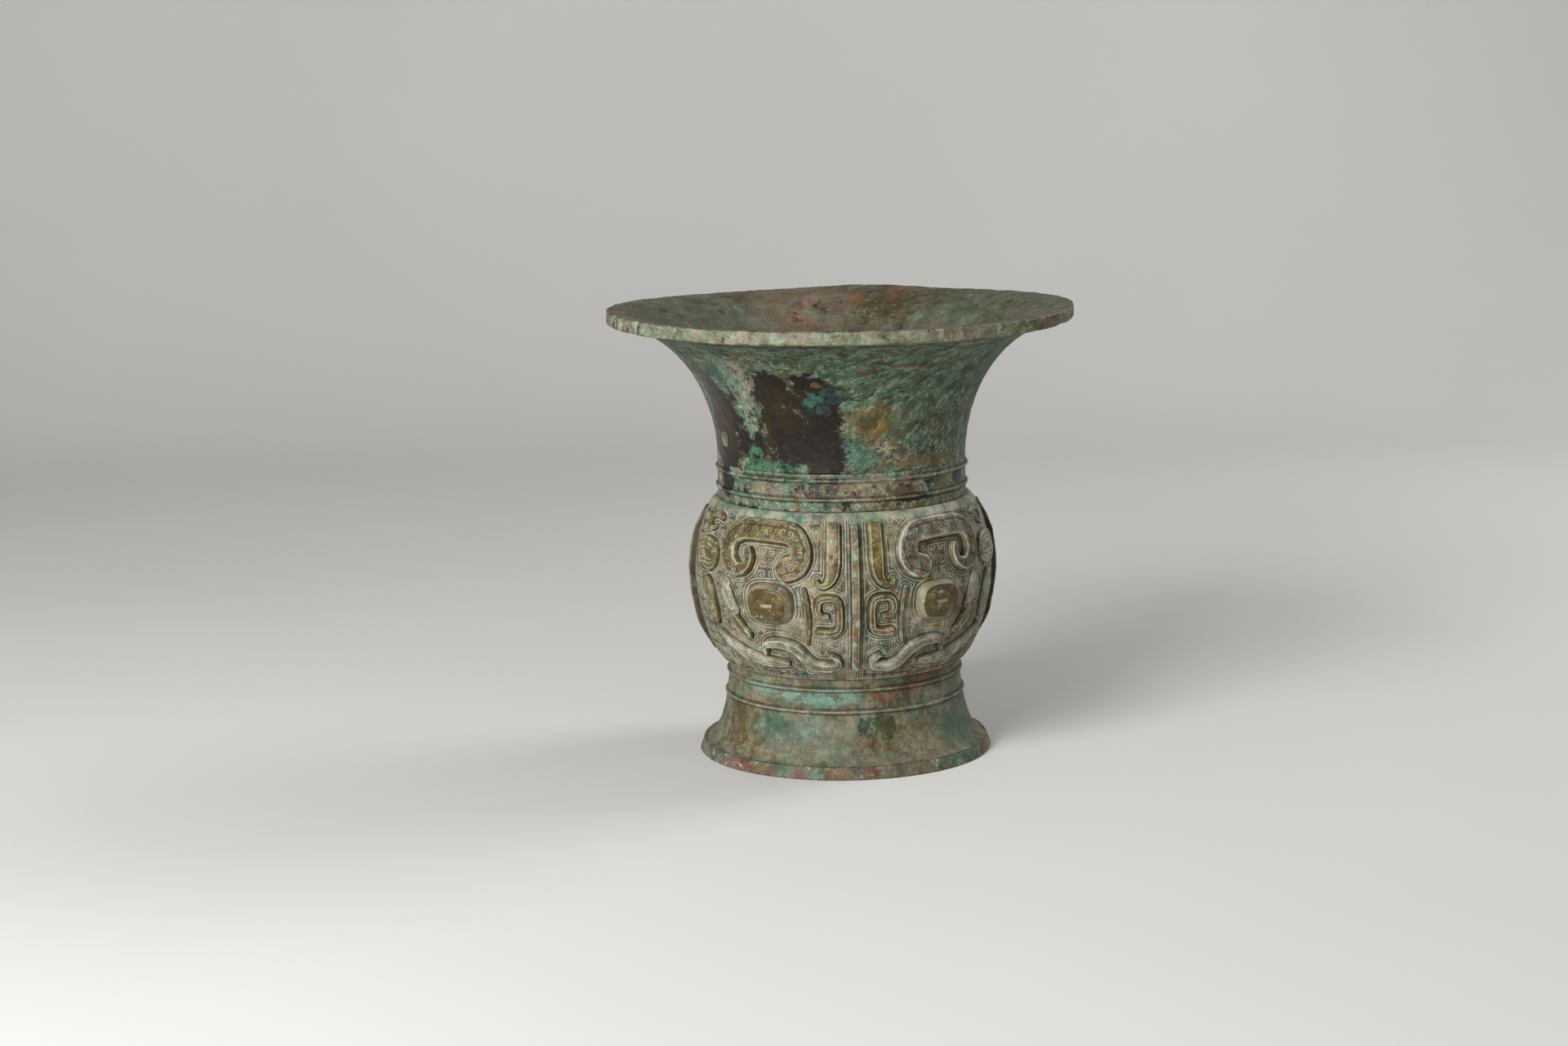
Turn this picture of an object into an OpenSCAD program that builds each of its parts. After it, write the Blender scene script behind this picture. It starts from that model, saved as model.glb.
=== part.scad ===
// Ritual bronze wine vessel (zun): flared foot, round belly with two relief masks,
// collar with raised cords and a trumpet neck that opens to a wide lip.
// Millimetres, +Z up. The origin is the centre of the foot's underside, and one flange faces -Y.

/* [Foot] */
// Diameter of the foot on the ground
foot_d = 159; // [146:1:172]
// Diameter of the foot's narrow waist, below the belly
foot_waist_d = 126; // [112:1:132]
// Height of the foot, from the ground to the belly's lower edge
foot_h = 50; // [42:1:60]
// Height of the plain band along the foot's lower edge
foot_band_h = 6.5; // [4:0.5:10]
// How far that band leans out from its top to the ground
foot_band_splay = 2.2; // [0.5:0.1:4]
// Wall of the foot
foot_wall = 3.2; // [2.4:0.1:5]
// Height of the straight stretch inside the foot's lower edge
foot_sole_h = 2; // [1:0.5:3.5]

/* [Belly] */
// Diameter of the belly's ground, without the relief
belly_d = 161; // [150:1:176]
// Height of the belly, from the foot to the collar
belly_h = 90; // [82:1:104]
// Height of the widest level above the belly's lower edge
belly_mid_h = 50; // [42:1:58]
// Fullness of the belly's curve: 1.4 is slack, 2 is an ellipse
belly_fullness = 1.65; // [1.45:0.05:2]
// Wall of the belly
belly_wall = 4; // [3:0.1:6]
// Thickness of the floor
floor_t = 3.5; // [2.5:0.1:5]
// Width of the ledge where the belly meets the collar
shoulder_w = 1.2; // [0.4:0.1:3]

/* [Neck and mouth] */
// Outside diameter of the neck at its waist
neck_d = 134; // [118:1:138]
// Wall of the neck
neck_wall = 3.5; // [2.6:0.1:5]
// Height of the collar between the belly and the flare
collar_h = 20; // [18:1:30]
// Height of the flare, from the collar to the rim
flare_h = 82; // [66:1:100]
// Diameter over the lip
rim_d = 250; // [220:1:280]
// Thickness of the lip at its edge
lip_t = 7.5; // [5:0.5:10]
// Width of the lip, measured inwards from its edge
lip_w = 12; // [8:1:18]
// Radius of the lip's rounded corners
lip_round = 1.4; // [0.6:0.2:2.2]

/* [Raised cords] */
// Width of a raised cord along the wall
cord_w = 2.4; // [1.6:0.2:3.4]
// Height of a raised cord above the wall
cord_h = 1.3; // [0.8:0.1:2]
// Height of the collar's lower cord above the belly
collar_cord_low = 6.5; // [3:0.5:8]
// Distance of the collar's upper cord below the flare
collar_cord_high = 3.5; // [2.5:0.5:6]
// Distance of the foot's lower cord below the belly
foot_cord_low = 17; // [13:0.5:22]
// Distance of the foot's upper cord below the belly
foot_cord_high = 5.5; // [3.5:0.5:9]

/* [Flanges] */
// Width of a flange
flange_w = 5; // [3:0.5:6]
// Height of a flange above the belly's ground
flange_rise = 3.4; // [2:0.2:5]
// Height of a flange's foot above the belly's lower edge
flange_low = 4.5; // [2:0.5:8]
// Distance of a flange's top below the belly's upper edge
flange_high = 2.5; // [1.5:0.5:6]

/* [Masks] */
// Height of the horns and jaws above the belly's ground
relief_high = 3.6; // [2.4:0.2:5]
// Height of the bars, claws, lips, nostrils, noses and foreheads
relief_mid = 2.4; // [1.6:0.2:3.6]
// Height of the cheek lines, snout scrolls and brows
relief_low = 1.4; // [0.9:0.1:2]
// Height of the eyes
eye_rise = 4.4; // [3:0.2:6]
// Width of an eye
eye_w = 28; // [22:1:30]
// Height of an eye from its lower to its upper edge
eye_h = 22; // [18:1:23]
// Length of the slit in an eye
slit_w = 7; // [4:0.5:10]
// Width of that slit
slit_h = 1.6; // [1:0.2:2.4]
// Depth of that slit
slit_d = 1; // [0.6:0.1:1.6]
// Width of a horn's band
horn_band = 12.6; // [10:0.2:13]
// Width of a body bar
bar_band = 8.6; // [6:0.2:9]
// Width of a claw's band
claw_band = 5.2; // [4:0.2:5.4]
// Width of a cheek line
cheek_band = 3; // [2:0.2:3.4]
// Width of a jaw's band
jaw_band = 6.6; // [5:0.2:7]
// Width of a lip leaf
lip_band = 8; // [6:0.2:8.6]
// Width of a nostril
nostril_band = 7.6; // [5:0.2:8.4]
// Width of a snout scroll
snout_band = 9; // [6:0.2:9.6]
// Width of a nose's side
nose_band = 12.4; // [9:0.2:13]
// Width of a forehead's boss
forehead_band = 18; // [14:0.2:18.4]
// Width of a brow's curl
brow_band = 4; // [3:0.2:4.4]
// Room between the relief's underside and the belly's ground
relief_seat = 0.3; // [0.2:0.05:0.5]

/* [Chaplets] */
// Side of the square bronze spacers that stay in the cast wall
chaplet_w = 9; // [6:0.5:12]
// Height of the neck's chaplets above the collar
neck_chaplet_h = 14; // [10:1:24]
// Turn of the neck's chaplets from the flanges, in degrees
neck_chaplet_turn = 20; // [10:1:50]
// Distance of the floor's chaplets from the axis
floor_chaplet_r = 34; // [24:1:42]
// Number of chaplets in the floor
floor_chaplet_count = 4; // [3:1:6]

/* [Hidden] */
$fn = 96;

// Levels from the ground up
belly_z = foot_h;
mid_z = belly_z + belly_mid_h;
collar_z = belly_z + belly_h;
waist_z = collar_z + collar_h;
rim_z = waist_z + flare_h;

// Radii
foot_r = foot_d / 2;
foot_band_r = foot_r - foot_band_splay;
foot_waist_r = foot_waist_d / 2;
floor_r = foot_waist_r - foot_wall;
belly_r = belly_d / 2;
shoulder_r = neck_d / 2 + shoulder_w;
neck_r = neck_d / 2;
bore_r = neck_r - neck_wall;
rim_r = rim_d / 2;
lip_r = rim_r - lip_w;

// The mould's sections, with a flange over each joint. A mask fills two of them, one on each side of
// the flange on its nose, less a margin above and below
sections = 4;
section_angle = 360 / sections;
mask_margin = 1.5;
mask_z = belly_z + mask_margin;
mask_h = belly_h - 2 * mask_margin;
curve_steps = 12;
quarter = 90;
bend_steps = 2;

// Rounded ends of the relief bands: angles of their rings, and the share of the height left at the tip
cap_angles = [30, 58, 80];
cap_low = 0.75;
// Rounding of a body bar's ends, where 1 is a half circle
bar_cap = 0.35;

MASKS = ["right", "left"];
MASK_TURNS = [section_angle, -section_angle];
MASK_PIECES = [
    "horns", "eyes", "body_bars", "claws", "cheeks", "jaws",
    "lips", "nostrils", "snout_scrolls", "noses", "foreheads", "brows"
];
FLANGES = ["front", "right", "back", "left"];

// Centre lines of the mask's right half. Each point is [across, up, width]: across runs from 0 at
// the nose to 100 at the flange beside the mask, up from 0 to 100 over the mask, width is a share of
// the band.
HORN = [
    [71.9, 69.5, 1.14], [75.1, 71.4, 1.11], [77.1, 76.4, 1.05], [76.6, 83.3, 1], [72.9, 88.9, 0.98],
    [65.4, 90.3, 0.96], [56.3, 90.5, 0.96], [48.4, 89.9, 0.96], [42.9, 86, 0.95], [41.2, 79, 0.93],
    [42.4, 71.6, 0.86], [46.7, 67, 0.74], [51.2, 68.6, 0.58], [53.3, 73.4, 0.5], [52.8, 77.6, 0.5]
];
BODY_BAR = [
    [90.9, 95, 1], [91, 84.5, 1], [90.9, 71.8, 0.98], [90.1, 64.8, 0.8], [87.8, 60.6, 0.58],
    [85.1, 60.4, 0.47], [84.1, 63.4, 0.4]
];
CLAW = [
    [84.9, 31.6, 1.04], [89.3, 31.4, 1.04], [92.5, 33.1, 1], [93.3, 38.5, 0.96], [93.3, 46.6, 0.92],
    [92.4, 51.4, 0.92], [88.9, 52.8, 0.92], [85.2, 51.5, 0.96], [84.2, 46.6, 0.92],
    [85.3, 42.4, 0.81], [88.2, 41.5, 0.65]
];
CHEEK = [[79, 57.5, 1], [80.3, 46.6, 1], [80.4, 35, 1], [79.5, 24.7, 0.93]];
JAW = [
    [89.7, 17, 0.5], [92.3, 13.9, 0.75], [91.6, 10.5, 0.9], [86.7, 9.7, 0.97], [81.7, 10.9, 1],
    [77.8, 15.5, 1.03], [74.1, 20.7, 1.03], [68.6, 23.4, 1], [62.7, 23.6, 0.91], [58.9, 21.3, 0.73],
    [59.1, 17.8, 0.55]
];
LIP = [
    [68.2, 10.5, 0.55], [61.1, 10.5, 0.8], [53.3, 11.8, 0.9], [46.1, 14.6, 0.95],
    [39.4, 18.4, 0.85], [34.7, 22.4, 0.65], [31.9, 26.1, 0.4]
];
NOSTRIL = [[51, 26.6, 0.65], [47.7, 29.5, 0.97], [45.3, 33.9, 1], [43.6, 38.3, 0.61]];
SNOUT = [[45, 41.4, 0.6], [41.7, 46.6, 1], [40, 53.4, 1], [40.6, 58, 0.6]];
NOSE = [[25.8, 53.4, 0.82], [26.4, 48.9, 1], [27.6, 43.1, 0.96], [29.1, 37.4, 0.8], [30, 33.3, 0.55]];
FOREHEAD = [[26.3, 71.6, 1], [22.8, 72.1, 1], [19.2, 71.6, 1]];
BROW = [
    [30.6, 94.3, 0.9], [26.1, 95.5, 1], [21.7, 94.6, 1], [20, 90.2, 1], [23.3, 87.2, 0.9],
    [27.2, 88.6, 0.7]
];
EYE_CENTRE = [63, 47.7];

// An eye's dome as [share of its outline, share of its height], from the rim to the middle
EYE_STEPS = [[1, 0], [0.97, 0.55], [0.8, 0.9], [0.45, 1]];
// The ring under an eye, which lets its flat side follow the belly
EYE_UNDER = [0.5, 0];
eye_sides = 28;
eye_squareness = 2.9;

// A relief band's section as [share of half its width, share of its height]
BAND_SECTION = [[-1, 0], [-0.96, 0.55], [-0.6, 1], [0.6, 1], [0.96, 0.55], [1, 0]];
crown = 2;

// Radius of the belly's ground at height z
function belly_at(z) =
    let (up = z > mid_z)
    let (end_r = up ? shoulder_r : foot_waist_r)
    let (t = abs(z - mid_z) / (up ? collar_z - mid_z : mid_z - belly_z))
    end_r + (belly_r - end_r) * pow(1 - pow(min(t, 1), belly_fullness), 1 / belly_fullness);

// Outward direction of the belly's ground at height z, as [radial, up]
function belly_normal(z) =
    let (d = belly_h / 450)
    let (slope = (belly_at(z + d) - belly_at(z - d)) / (2 * d))
    [1, -slope] / norm([1, slope]);

// Points [r, z] up a bulging wall, from its low end through its widest level to its top
function bulge(low, mid, top) = [
    for (i = [-curve_steps : curve_steps])
        let (a = quarter * abs(i) / curve_steps)
        let (end = i < 0 ? low : top)
        let (p = 2 / belly_fullness)
        [end[0] + (mid[0] - end[0]) * pow(cos(a), p), mid[1] + (end[1] - mid[1]) * pow(sin(a), p)]
];

// Points [r, z] along a flare: upright at its waist, level at its mouth
function flare(waist, mouth) = [
    for (i = [0 : curve_steps])
        let (a = quarter * i / curve_steps)
        [waist[0] + (mouth[0] - waist[0]) * (1 - cos(a)), waist[1] + (mouth[1] - waist[1]) * sin(a)]
];

// Height at which such a flare reaches radius r
function flare_z(waist, mouth, r) =
    let (c = 1 - (r - waist[0]) / (mouth[0] - waist[0]))
    waist[1] + (mouth[1] - waist[1]) * sqrt(1 - c * c);

// Radius of such a flare at height z
function flare_r(waist, mouth, z) =
    let (s = (z - waist[1]) / (mouth[1] - waist[1]))
    waist[0] + (mouth[0] - waist[0]) * (1 - sqrt(1 - s * s));

function reversed(p) = [for (i = [len(p) - 1 : -1 : 0]) p[i]];

BELLY_CURVE = bulge([foot_waist_r, belly_z], [belly_r, mid_z], [shoulder_r, collar_z]);
INNER_CURVE = bulge([floor_r, belly_z + floor_t], [belly_r - belly_wall, mid_z], [bore_r, collar_z]);
NECK_WAIST = [neck_r, waist_z];
NECK_MOUTH = [rim_r, rim_z - lip_t];
BORE_WAIST = [bore_r, waist_z - lip_t];
BORE_MOUTH = [rim_r, rim_z];
FOOT_WAIST = [foot_waist_r, foot_h];
FOOT_MOUTH = [foot_band_r, foot_band_h];
HOLLOW_WAIST = [floor_r, foot_h];
HOLLOW_MOUTH = [foot_band_r - foot_wall, foot_sole_h];

// Point on the belly: x along its girth from the mask's nose, z up, h above the ground
function on_belly(x, z, h) =
    let (n = belly_normal(z))
    let (a = x / belly_r * 180 / PI)
    let (r = belly_at(z) + h * n[0])
    [r * sin(a), -r * cos(a), z + h * n[1]];

// Smooth curve through control points, bend_steps points to each stretch
function bend(a, b, c, d, t) =
    (2 * b + (c - a) * t + (2 * a - 5 * b + 4 * c - d) * t * t + (3 * b - a - 3 * c + d) * t * t * t) / 2;
function curve(p) = [
    for (i = [0 : len(p) - 2])
        for (k = [0 : bend_steps - (i < len(p) - 2 ? 1 : 0)])
            bend(p[max(i - 1, 0)], p[i], p[i + 1], p[min(i + 2, len(p) - 1)], k / bend_steps)
];

// Mask grid to millimetres: [along the girth, up, half width]
function on_mask(p, band) = [
    p[0] / 100 * belly_r * section_angle * PI / 180,
    mask_z + p[1] / 100 * mask_h,
    p[2] * band / 2
];

function flat(p) = [p[0], p[1]];
function unit(v) = v / norm(v);
function heading(q, i) = unit(flat(q[min(i + 1, len(q) - 1)]) - flat(q[max(i - 1, 0)]));

function cap_height(a) = cap_low + (1 - cap_low) * cos(a);

// Rings of a band as [centre, heading, half width, share of the height], with rounded ends
function band_rings(q, cap) =
    let (n = len(q) - 1)
    let (first = heading(q, 0))
    let (last = heading(q, n))
    concat(
        [for (a = reversed(cap_angles))
            [flat(q[0]) - first * cap * q[0][2] * sin(a), first, q[0][2] * cos(a), cap_height(a)]],
        [for (i = [0 : n]) [flat(q[i]), heading(q, i), q[i][2], 1]],
        [for (a = cap_angles)
            [flat(q[n]) + last * cap * q[n][2] * sin(a), last, q[n][2] * cos(a), cap_height(a)]]
    );

// A crowned band that follows a centre line over the belly. Its underside has extra points, so that
// it follows the ground
module band(path, width, rise, cap = 1, under = 1) {
    rings = band_rings([for (p = curve(path)) on_mask(p, width)], cap);
    section = concat(BAND_SECTION, [for (i = [1 : under]) [1 - 2 * i / (under + 1), 0]]);
    sides = len(section);
    end = len(rings) - 1;
    points = [
        for (g = rings)
            for (s = section)
                on_belly(
                    g[0][0] - g[1][1] * g[2] * s[0],
                    g[0][1] + g[1][0] * g[2] * s[0],
                    relief_seat + s[1] * g[3] * (rise - relief_seat)
                )
    ];
    walls = [
        for (i = [0 : end - 1])
            for (j = [0 : sides - 1])
                let (k = (j + 1) % sides)
                each [
                    [i * sides + j, (i + 1) * sides + j, (i + 1) * sides + k],
                    [i * sides + j, (i + 1) * sides + k, i * sides + k]
                ]
    ];
    ends = [
        for (j = [1 : sides - 2])
            let (a = (crown + j) % sides)
            let (b = (a + 1) % sides)
            each [[crown, a, b], [end * sides + crown, end * sides + b, end * sides + a]]
    ];
    polyhedron(points, concat(walls, ends));
}

// The same piece on both halves of a mask
module pair() {
    for (s = [0, 1])
        mirror([s, 0, 0])
            children();
}

// Rounded-square dome of one eye
module eye_dome() {
    c = on_mask([EYE_CENTRE[0], EYE_CENTRE[1], 0], 0);
    e = 2 / eye_squareness;
    levels = concat([EYE_UNDER], EYE_STEPS);
    count = len(levels);
    points = concat(
        [
            for (s = levels)
                for (i = [0 : eye_sides - 1])
                    let (a = 360 * i / eye_sides)
                    on_belly(
                        c[0] + eye_w / 2 * s[0] * sign(cos(a)) * pow(abs(cos(a)), e),
                        c[1] + eye_h / 2 * s[0] * sign(sin(a)) * pow(abs(sin(a)), e),
                        relief_seat + s[1] * (eye_rise - relief_seat)
                    )
        ],
        [on_belly(c[0], c[1], relief_seat), on_belly(c[0], c[1], eye_rise)]
    );
    under = count * eye_sides;
    over = under + 1;
    top = (count - 1) * eye_sides;
    walls = [
        for (k = [0 : count - 2])
            for (i = [0 : eye_sides - 1])
                let (j = (i + 1) % eye_sides)
                each [
                    [k * eye_sides + i, (k + 1) * eye_sides + i, (k + 1) * eye_sides + j],
                    [k * eye_sides + i, (k + 1) * eye_sides + j, k * eye_sides + j]
                ]
    ];
    fans = [
        for (i = [0 : eye_sides - 1])
            let (j = (i + 1) % eye_sides)
            each [[under, i, j], [over, top + j, top + i]]
    ];
    polyhedron(points, concat(walls, fans));
}

// One eye with the slit cut into its crown
module eye() {
    c = on_mask([EYE_CENTRE[0], EYE_CENTRE[1], 0], 0);
    crown_r = belly_at(c[1]) + eye_rise;
    difference() {
        eye_dome();
        rotate([0, 0, c[0] / belly_r * 180 / PI])
            translate([-slit_w / 2, -crown_r - eye_rise, c[1] - slit_h / 2])
                cube([slit_w, eye_rise + slit_d, slit_h]);
    }
}

// Half-round cord on a wall of radius r at height z
module cord(r_low, r_high, z) {
    rotate_extrude()
        polygon([
            for (i = [0 : curve_steps])
                let (a = 180 * i / curve_steps - 90)
                let (t = (1 + sin(a)) / 2)
                [r_low + (r_high - r_low) * t + cord_h * cos(a), z + cord_w / 2 * sin(a)]
        ]);
}

// Square rods that mark where the neck's chaplets sit, one in each mould section
module neck_chaplet_rods() {
    for (i = [0 : sections - 1])
        rotate([0, 0, i * section_angle + neck_chaplet_turn])
            translate([-chaplet_w / 2, -rim_r, waist_z + neck_chaplet_h - chaplet_w / 2])
                cube([chaplet_w, rim_r, chaplet_w]);
}

module floor_chaplet_rods() {
    for (i = [0 : floor_chaplet_count - 1])
        rotate([0, 0, 360 * (i + 0.5) / floor_chaplet_count])
            translate([floor_chaplet_r - chaplet_w / 2, -chaplet_w / 2, belly_z])
                cube([chaplet_w, chaplet_w, floor_t]);
}

// The flare from the collar to the lip, before the chaplets are let in
module flare_shell() {
    rotate_extrude()
        polygon(concat(
            [for (p = flare(NECK_WAIST, NECK_MOUTH)) if (p[0] < lip_r) p],
            [[lip_r, flare_z(NECK_WAIST, NECK_MOUTH, lip_r)]],
            [[lip_r, flare_z(BORE_WAIST, BORE_MOUTH, lip_r)]],
            reversed([for (p = flare(BORE_WAIST, BORE_MOUTH)) if (p[0] < lip_r && p[1] > waist_z) p]),
            [[flare_r(BORE_WAIST, BORE_MOUTH, waist_z), waist_z]]
        ));
}

module foot_band() {
    color("#8f7f6a")
        rotate_extrude()
            polygon([
                [foot_r, 0],
                [foot_band_r, foot_band_h],
                [flare_r(HOLLOW_WAIST, HOLLOW_MOUTH, foot_band_h), foot_band_h],
                each [for (p = flare(HOLLOW_WAIST, HOLLOW_MOUTH)) if (p[1] < foot_band_h) p],
                [HOLLOW_MOUTH[0], 0]
            ]);
}

module foot_ring() {
    color("#6f8a72")
        rotate_extrude()
            polygon(concat(
                flare(FOOT_WAIST, FOOT_MOUTH),
                [[flare_r(HOLLOW_WAIST, HOLLOW_MOUTH, foot_band_h), foot_band_h]],
                reversed([for (p = flare(HOLLOW_WAIST, HOLLOW_MOUTH)) if (p[1] > foot_band_h) p])
            ));
}

module foot_cord(z) {
    color("#7d8066")
        cord(
            flare_r(FOOT_WAIST, FOOT_MOUTH, z - cord_w / 2),
            flare_r(FOOT_WAIST, FOOT_MOUTH, z + cord_w / 2),
            z
        );
}

module vessel_floor() {
    color("#6a5d4c")
        difference() {
            translate([0, 0, belly_z])
                cylinder(r = floor_r, h = floor_t);
            floor_chaplet_rods();
        }
}

module floor_chaplets() {
    color("#84703f")
        floor_chaplet_rods();
}

module belly_wall() {
    color("#8a8674")
        rotate_extrude()
            polygon(concat(BELLY_CURVE, reversed(INNER_CURVE), [[floor_r, belly_z]]));
}

module neck_collar() {
    inner = [for (p = flare(BORE_WAIST, BORE_MOUTH)) if (p[1] < waist_z) p];
    color("#8a7d66")
        rotate_extrude()
            polygon(concat(
                [[bore_r, collar_z], [neck_r, collar_z], [neck_r, waist_z]],
                [[flare_r(BORE_WAIST, BORE_MOUTH, waist_z), waist_z]],
                reversed(inner)
            ));
}

module collar_cord(z) {
    color("#75664a")
        cord(neck_r, neck_r, z);
}

module trumpet_neck() {
    color("#52705a")
        difference() {
            flare_shell();
            neck_chaplet_rods();
        }
}

module neck_chaplets() {
    color("#8c7636")
        intersection() {
            flare_shell();
            neck_chaplet_rods();
        }
}

// Points of a flare that lie within the lip, short of its rounded corner
function lip_stretch(waist, mouth) = [
    for (p = flare(waist, mouth))
        if (p[0] > lip_r && p[0] < rim_r - lip_round) p
];

module mouth_lip() {
    under = NECK_MOUTH[1];
    color("#8b9a80")
        rotate_extrude()
            polygon(concat(
                [[lip_r, flare_z(BORE_WAIST, BORE_MOUTH, lip_r)]],
                [[lip_r, flare_z(NECK_WAIST, NECK_MOUTH, lip_r)]],
                lip_stretch(NECK_WAIST, NECK_MOUTH),
                [[rim_r - lip_round, under], [rim_r, under + lip_round]],
                [[rim_r, rim_z - lip_round], [rim_r - lip_round, rim_z]],
                reversed(lip_stretch(BORE_WAIST, BORE_MOUTH))
            ));
}

// Plain ridge over a mould joint, cut level at its foot and top. It leaves out the curve's two end points,
// where the belly's wall lies flat
module flange() {
    ground = [for (i = [1 : len(BELLY_CURVE) - 2]) BELLY_CURVE[i]];
    crest = [for (p = ground) p + flange_rise * belly_normal(p[1])];
    color("#6b6a4f")
        intersection() {
            rotate_extrude()
                polygon(concat(ground, reversed(crest)));
            translate([-flange_w / 2, -rim_r, belly_z + flange_low])
                cube([flange_w, rim_r, belly_h - flange_low - flange_high]);
        }
}

// The pieces of one mask, facing -Y
module mask_horns() {
    color("#8a8150")
        pair()
            band(HORN, horn_band, relief_high, under = 2);
}

module mask_eyes() {
    color("#6f5f34")
        pair()
            eye();
}

module mask_body_bars() {
    color("#83804c")
        pair()
            band(BODY_BAR, bar_band, relief_mid, bar_cap);
}

module mask_claws() {
    color("#80794e")
        pair()
            band(CLAW, claw_band, relief_mid);
}

module mask_cheeks() {
    color("#7f7a62")
        pair()
            band(CHEEK, cheek_band, relief_low);
}

module mask_jaws() {
    color("#8b8a72")
        pair()
            band(JAW, jaw_band, relief_high);
}

module mask_lips() {
    color("#7d8471")
        pair()
            band(LIP, lip_band, relief_mid);
}

module mask_nostrils() {
    color("#a3a184")
        pair()
            band(NOSTRIL, nostril_band, relief_mid);
}

module mask_snout_scrolls() {
    color("#7d725c")
        pair()
            band(SNOUT, snout_band, relief_low);
}

module mask_noses() {
    color("#8a7c5a")
        pair()
            band(NOSE, nose_band, relief_mid, under = 2);
}

module mask_foreheads() {
    color("#7a7258")
        pair()
            band(FOREHEAD, forehead_band, relief_mid, under = 4);
}

module mask_brows() {
    color("#8d866c")
        pair()
            band(BROW, brow_band, relief_low);
}

// Turns a mask's piece to the mask's own side of the belly
module on_section(i) {
    rotate([0, 0, MASK_TURNS[i]])
        children();
}

foot_band();
foot_ring();
foot_cord(foot_h - foot_cord_low);  // foot_lower_cord
foot_cord(foot_h - foot_cord_high);  // foot_upper_cord
vessel_floor();
floor_chaplets();
belly_wall();
neck_collar();
collar_cord(collar_z + collar_cord_low);  // collar_lower_cord
collar_cord(waist_z - collar_cord_high);  // collar_upper_cord
trumpet_neck();
neck_chaplets();
mouth_lip();
for (i = [0 : sections - 1])
    rotate([0, 0, i * section_angle])
            flange();
for (i = [0 : len(MASKS) - 1]) {
    mask = str(MASKS[i], "_mask_");
    on_section(i) mask_horns();
    on_section(i) mask_eyes();
    on_section(i) mask_body_bars();
    on_section(i) mask_claws();
    on_section(i) mask_cheeks();
    on_section(i) mask_jaws();
    on_section(i) mask_lips();
    on_section(i) mask_nostrils();
    on_section(i) mask_snout_scrolls();
    on_section(i) mask_noses();
    on_section(i) mask_foreheads();
    on_section(i) mask_brows();
}
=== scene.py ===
"""Dresses the cast bronze wine vessel (zun): carved belly, relief masks, flared neck and foot, patina."""

import itertools
import logging
import math
from dataclasses import dataclass, replace
from enum import Enum
from statistics import NormalDist
from typing import Callable, Optional

import bmesh
import bpy
import numpy as np
from mathutils import Matrix, Vector


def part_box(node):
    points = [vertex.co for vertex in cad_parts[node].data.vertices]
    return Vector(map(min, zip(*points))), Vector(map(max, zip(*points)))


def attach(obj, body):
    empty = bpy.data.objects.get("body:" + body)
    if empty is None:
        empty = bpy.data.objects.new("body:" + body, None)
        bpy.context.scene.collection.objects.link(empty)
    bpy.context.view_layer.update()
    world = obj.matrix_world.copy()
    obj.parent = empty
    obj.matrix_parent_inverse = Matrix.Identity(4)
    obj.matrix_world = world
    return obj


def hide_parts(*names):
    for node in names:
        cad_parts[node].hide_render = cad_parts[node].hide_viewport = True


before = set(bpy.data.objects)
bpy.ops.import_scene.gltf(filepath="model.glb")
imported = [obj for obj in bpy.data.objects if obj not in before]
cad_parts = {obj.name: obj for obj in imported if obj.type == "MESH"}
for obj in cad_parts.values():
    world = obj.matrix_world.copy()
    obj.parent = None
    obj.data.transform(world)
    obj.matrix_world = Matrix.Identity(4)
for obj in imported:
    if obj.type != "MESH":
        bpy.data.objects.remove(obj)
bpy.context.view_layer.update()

MM = 0.001
BODY = "root"
log = logging.getLogger("zun")

Point = tuple[float, float]
Profile = list[Point]
Line = tuple[tuple[float, float, float], ...]
Tree = bpy.types.NodeTree
Socket = bpy.types.NodeSocket


def node_box(node: str) -> tuple[Vector, Vector]:
    """A CAD node's lowest and highest corner in millimetres."""
    low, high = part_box(node)
    return low / MM, high / MM


def linear(hex_colour: str) -> tuple[float, float, float, float]:
    """An sRGB hex colour as linear RGBA.

    Args:
        hex_colour: such as #7d7040.

    Returns:
        Red, green, blue and alpha.
    """
    parts = [int(hex_colour[i:i + 2], 16) / 255 for i in (1, 3, 5)]
    parts = [p / 12.92 if p <= 0.04045 else ((p + 0.055) / 1.055) ** 2.4 for p in parts]
    return (parts[0], parts[1], parts[2], 1.0)


def smooth(value: np.ndarray, low: float, high: float) -> np.ndarray:
    """Smooth step of an array from 0 at low to 1 at high."""
    t = np.clip((value - low) / (high - low), 0, 1)
    return t * t * (3 - 2 * t)


@dataclass(frozen=True)
class Swell:
    """Smooth random unevenness: a swell's typical width and its rise, and the seed that picks the pattern."""

    size: float
    rise: float
    seed: int
    waves: int = 9

    def at(self, points: np.ndarray) -> np.ndarray:
        """The unevenness at points, made of crossing waves.

        Args:
            points: places in millimetres, one row each.

        Returns:
            One value a point, mostly within the rise up and down.
        """
        draw = np.random.default_rng(self.seed)
        total = np.zeros(len(points))
        for _ in range(self.waves):
            way = draw.normal(size=3)
            way *= 2 * math.pi * draw.uniform(0.7, 1.5) / (self.size * np.linalg.norm(way))
            total += np.sin(points @ way + draw.uniform(0, 2 * math.pi))
        return self.rise * (total / math.sqrt(self.waves))


Swells = tuple[Swell, ...]


def uneven(points: np.ndarray, swells: Swells) -> np.ndarray:
    """The sum of swells at points in millimetres."""
    return sum(swell.at(points) for swell in swells)


def bell(value: np.ndarray, middle: float, width: float) -> np.ndarray:
    """Bell curve of an array: 1 at its middle, falling off over a width."""
    return np.exp(-((value - middle) / width) ** 2)


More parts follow.
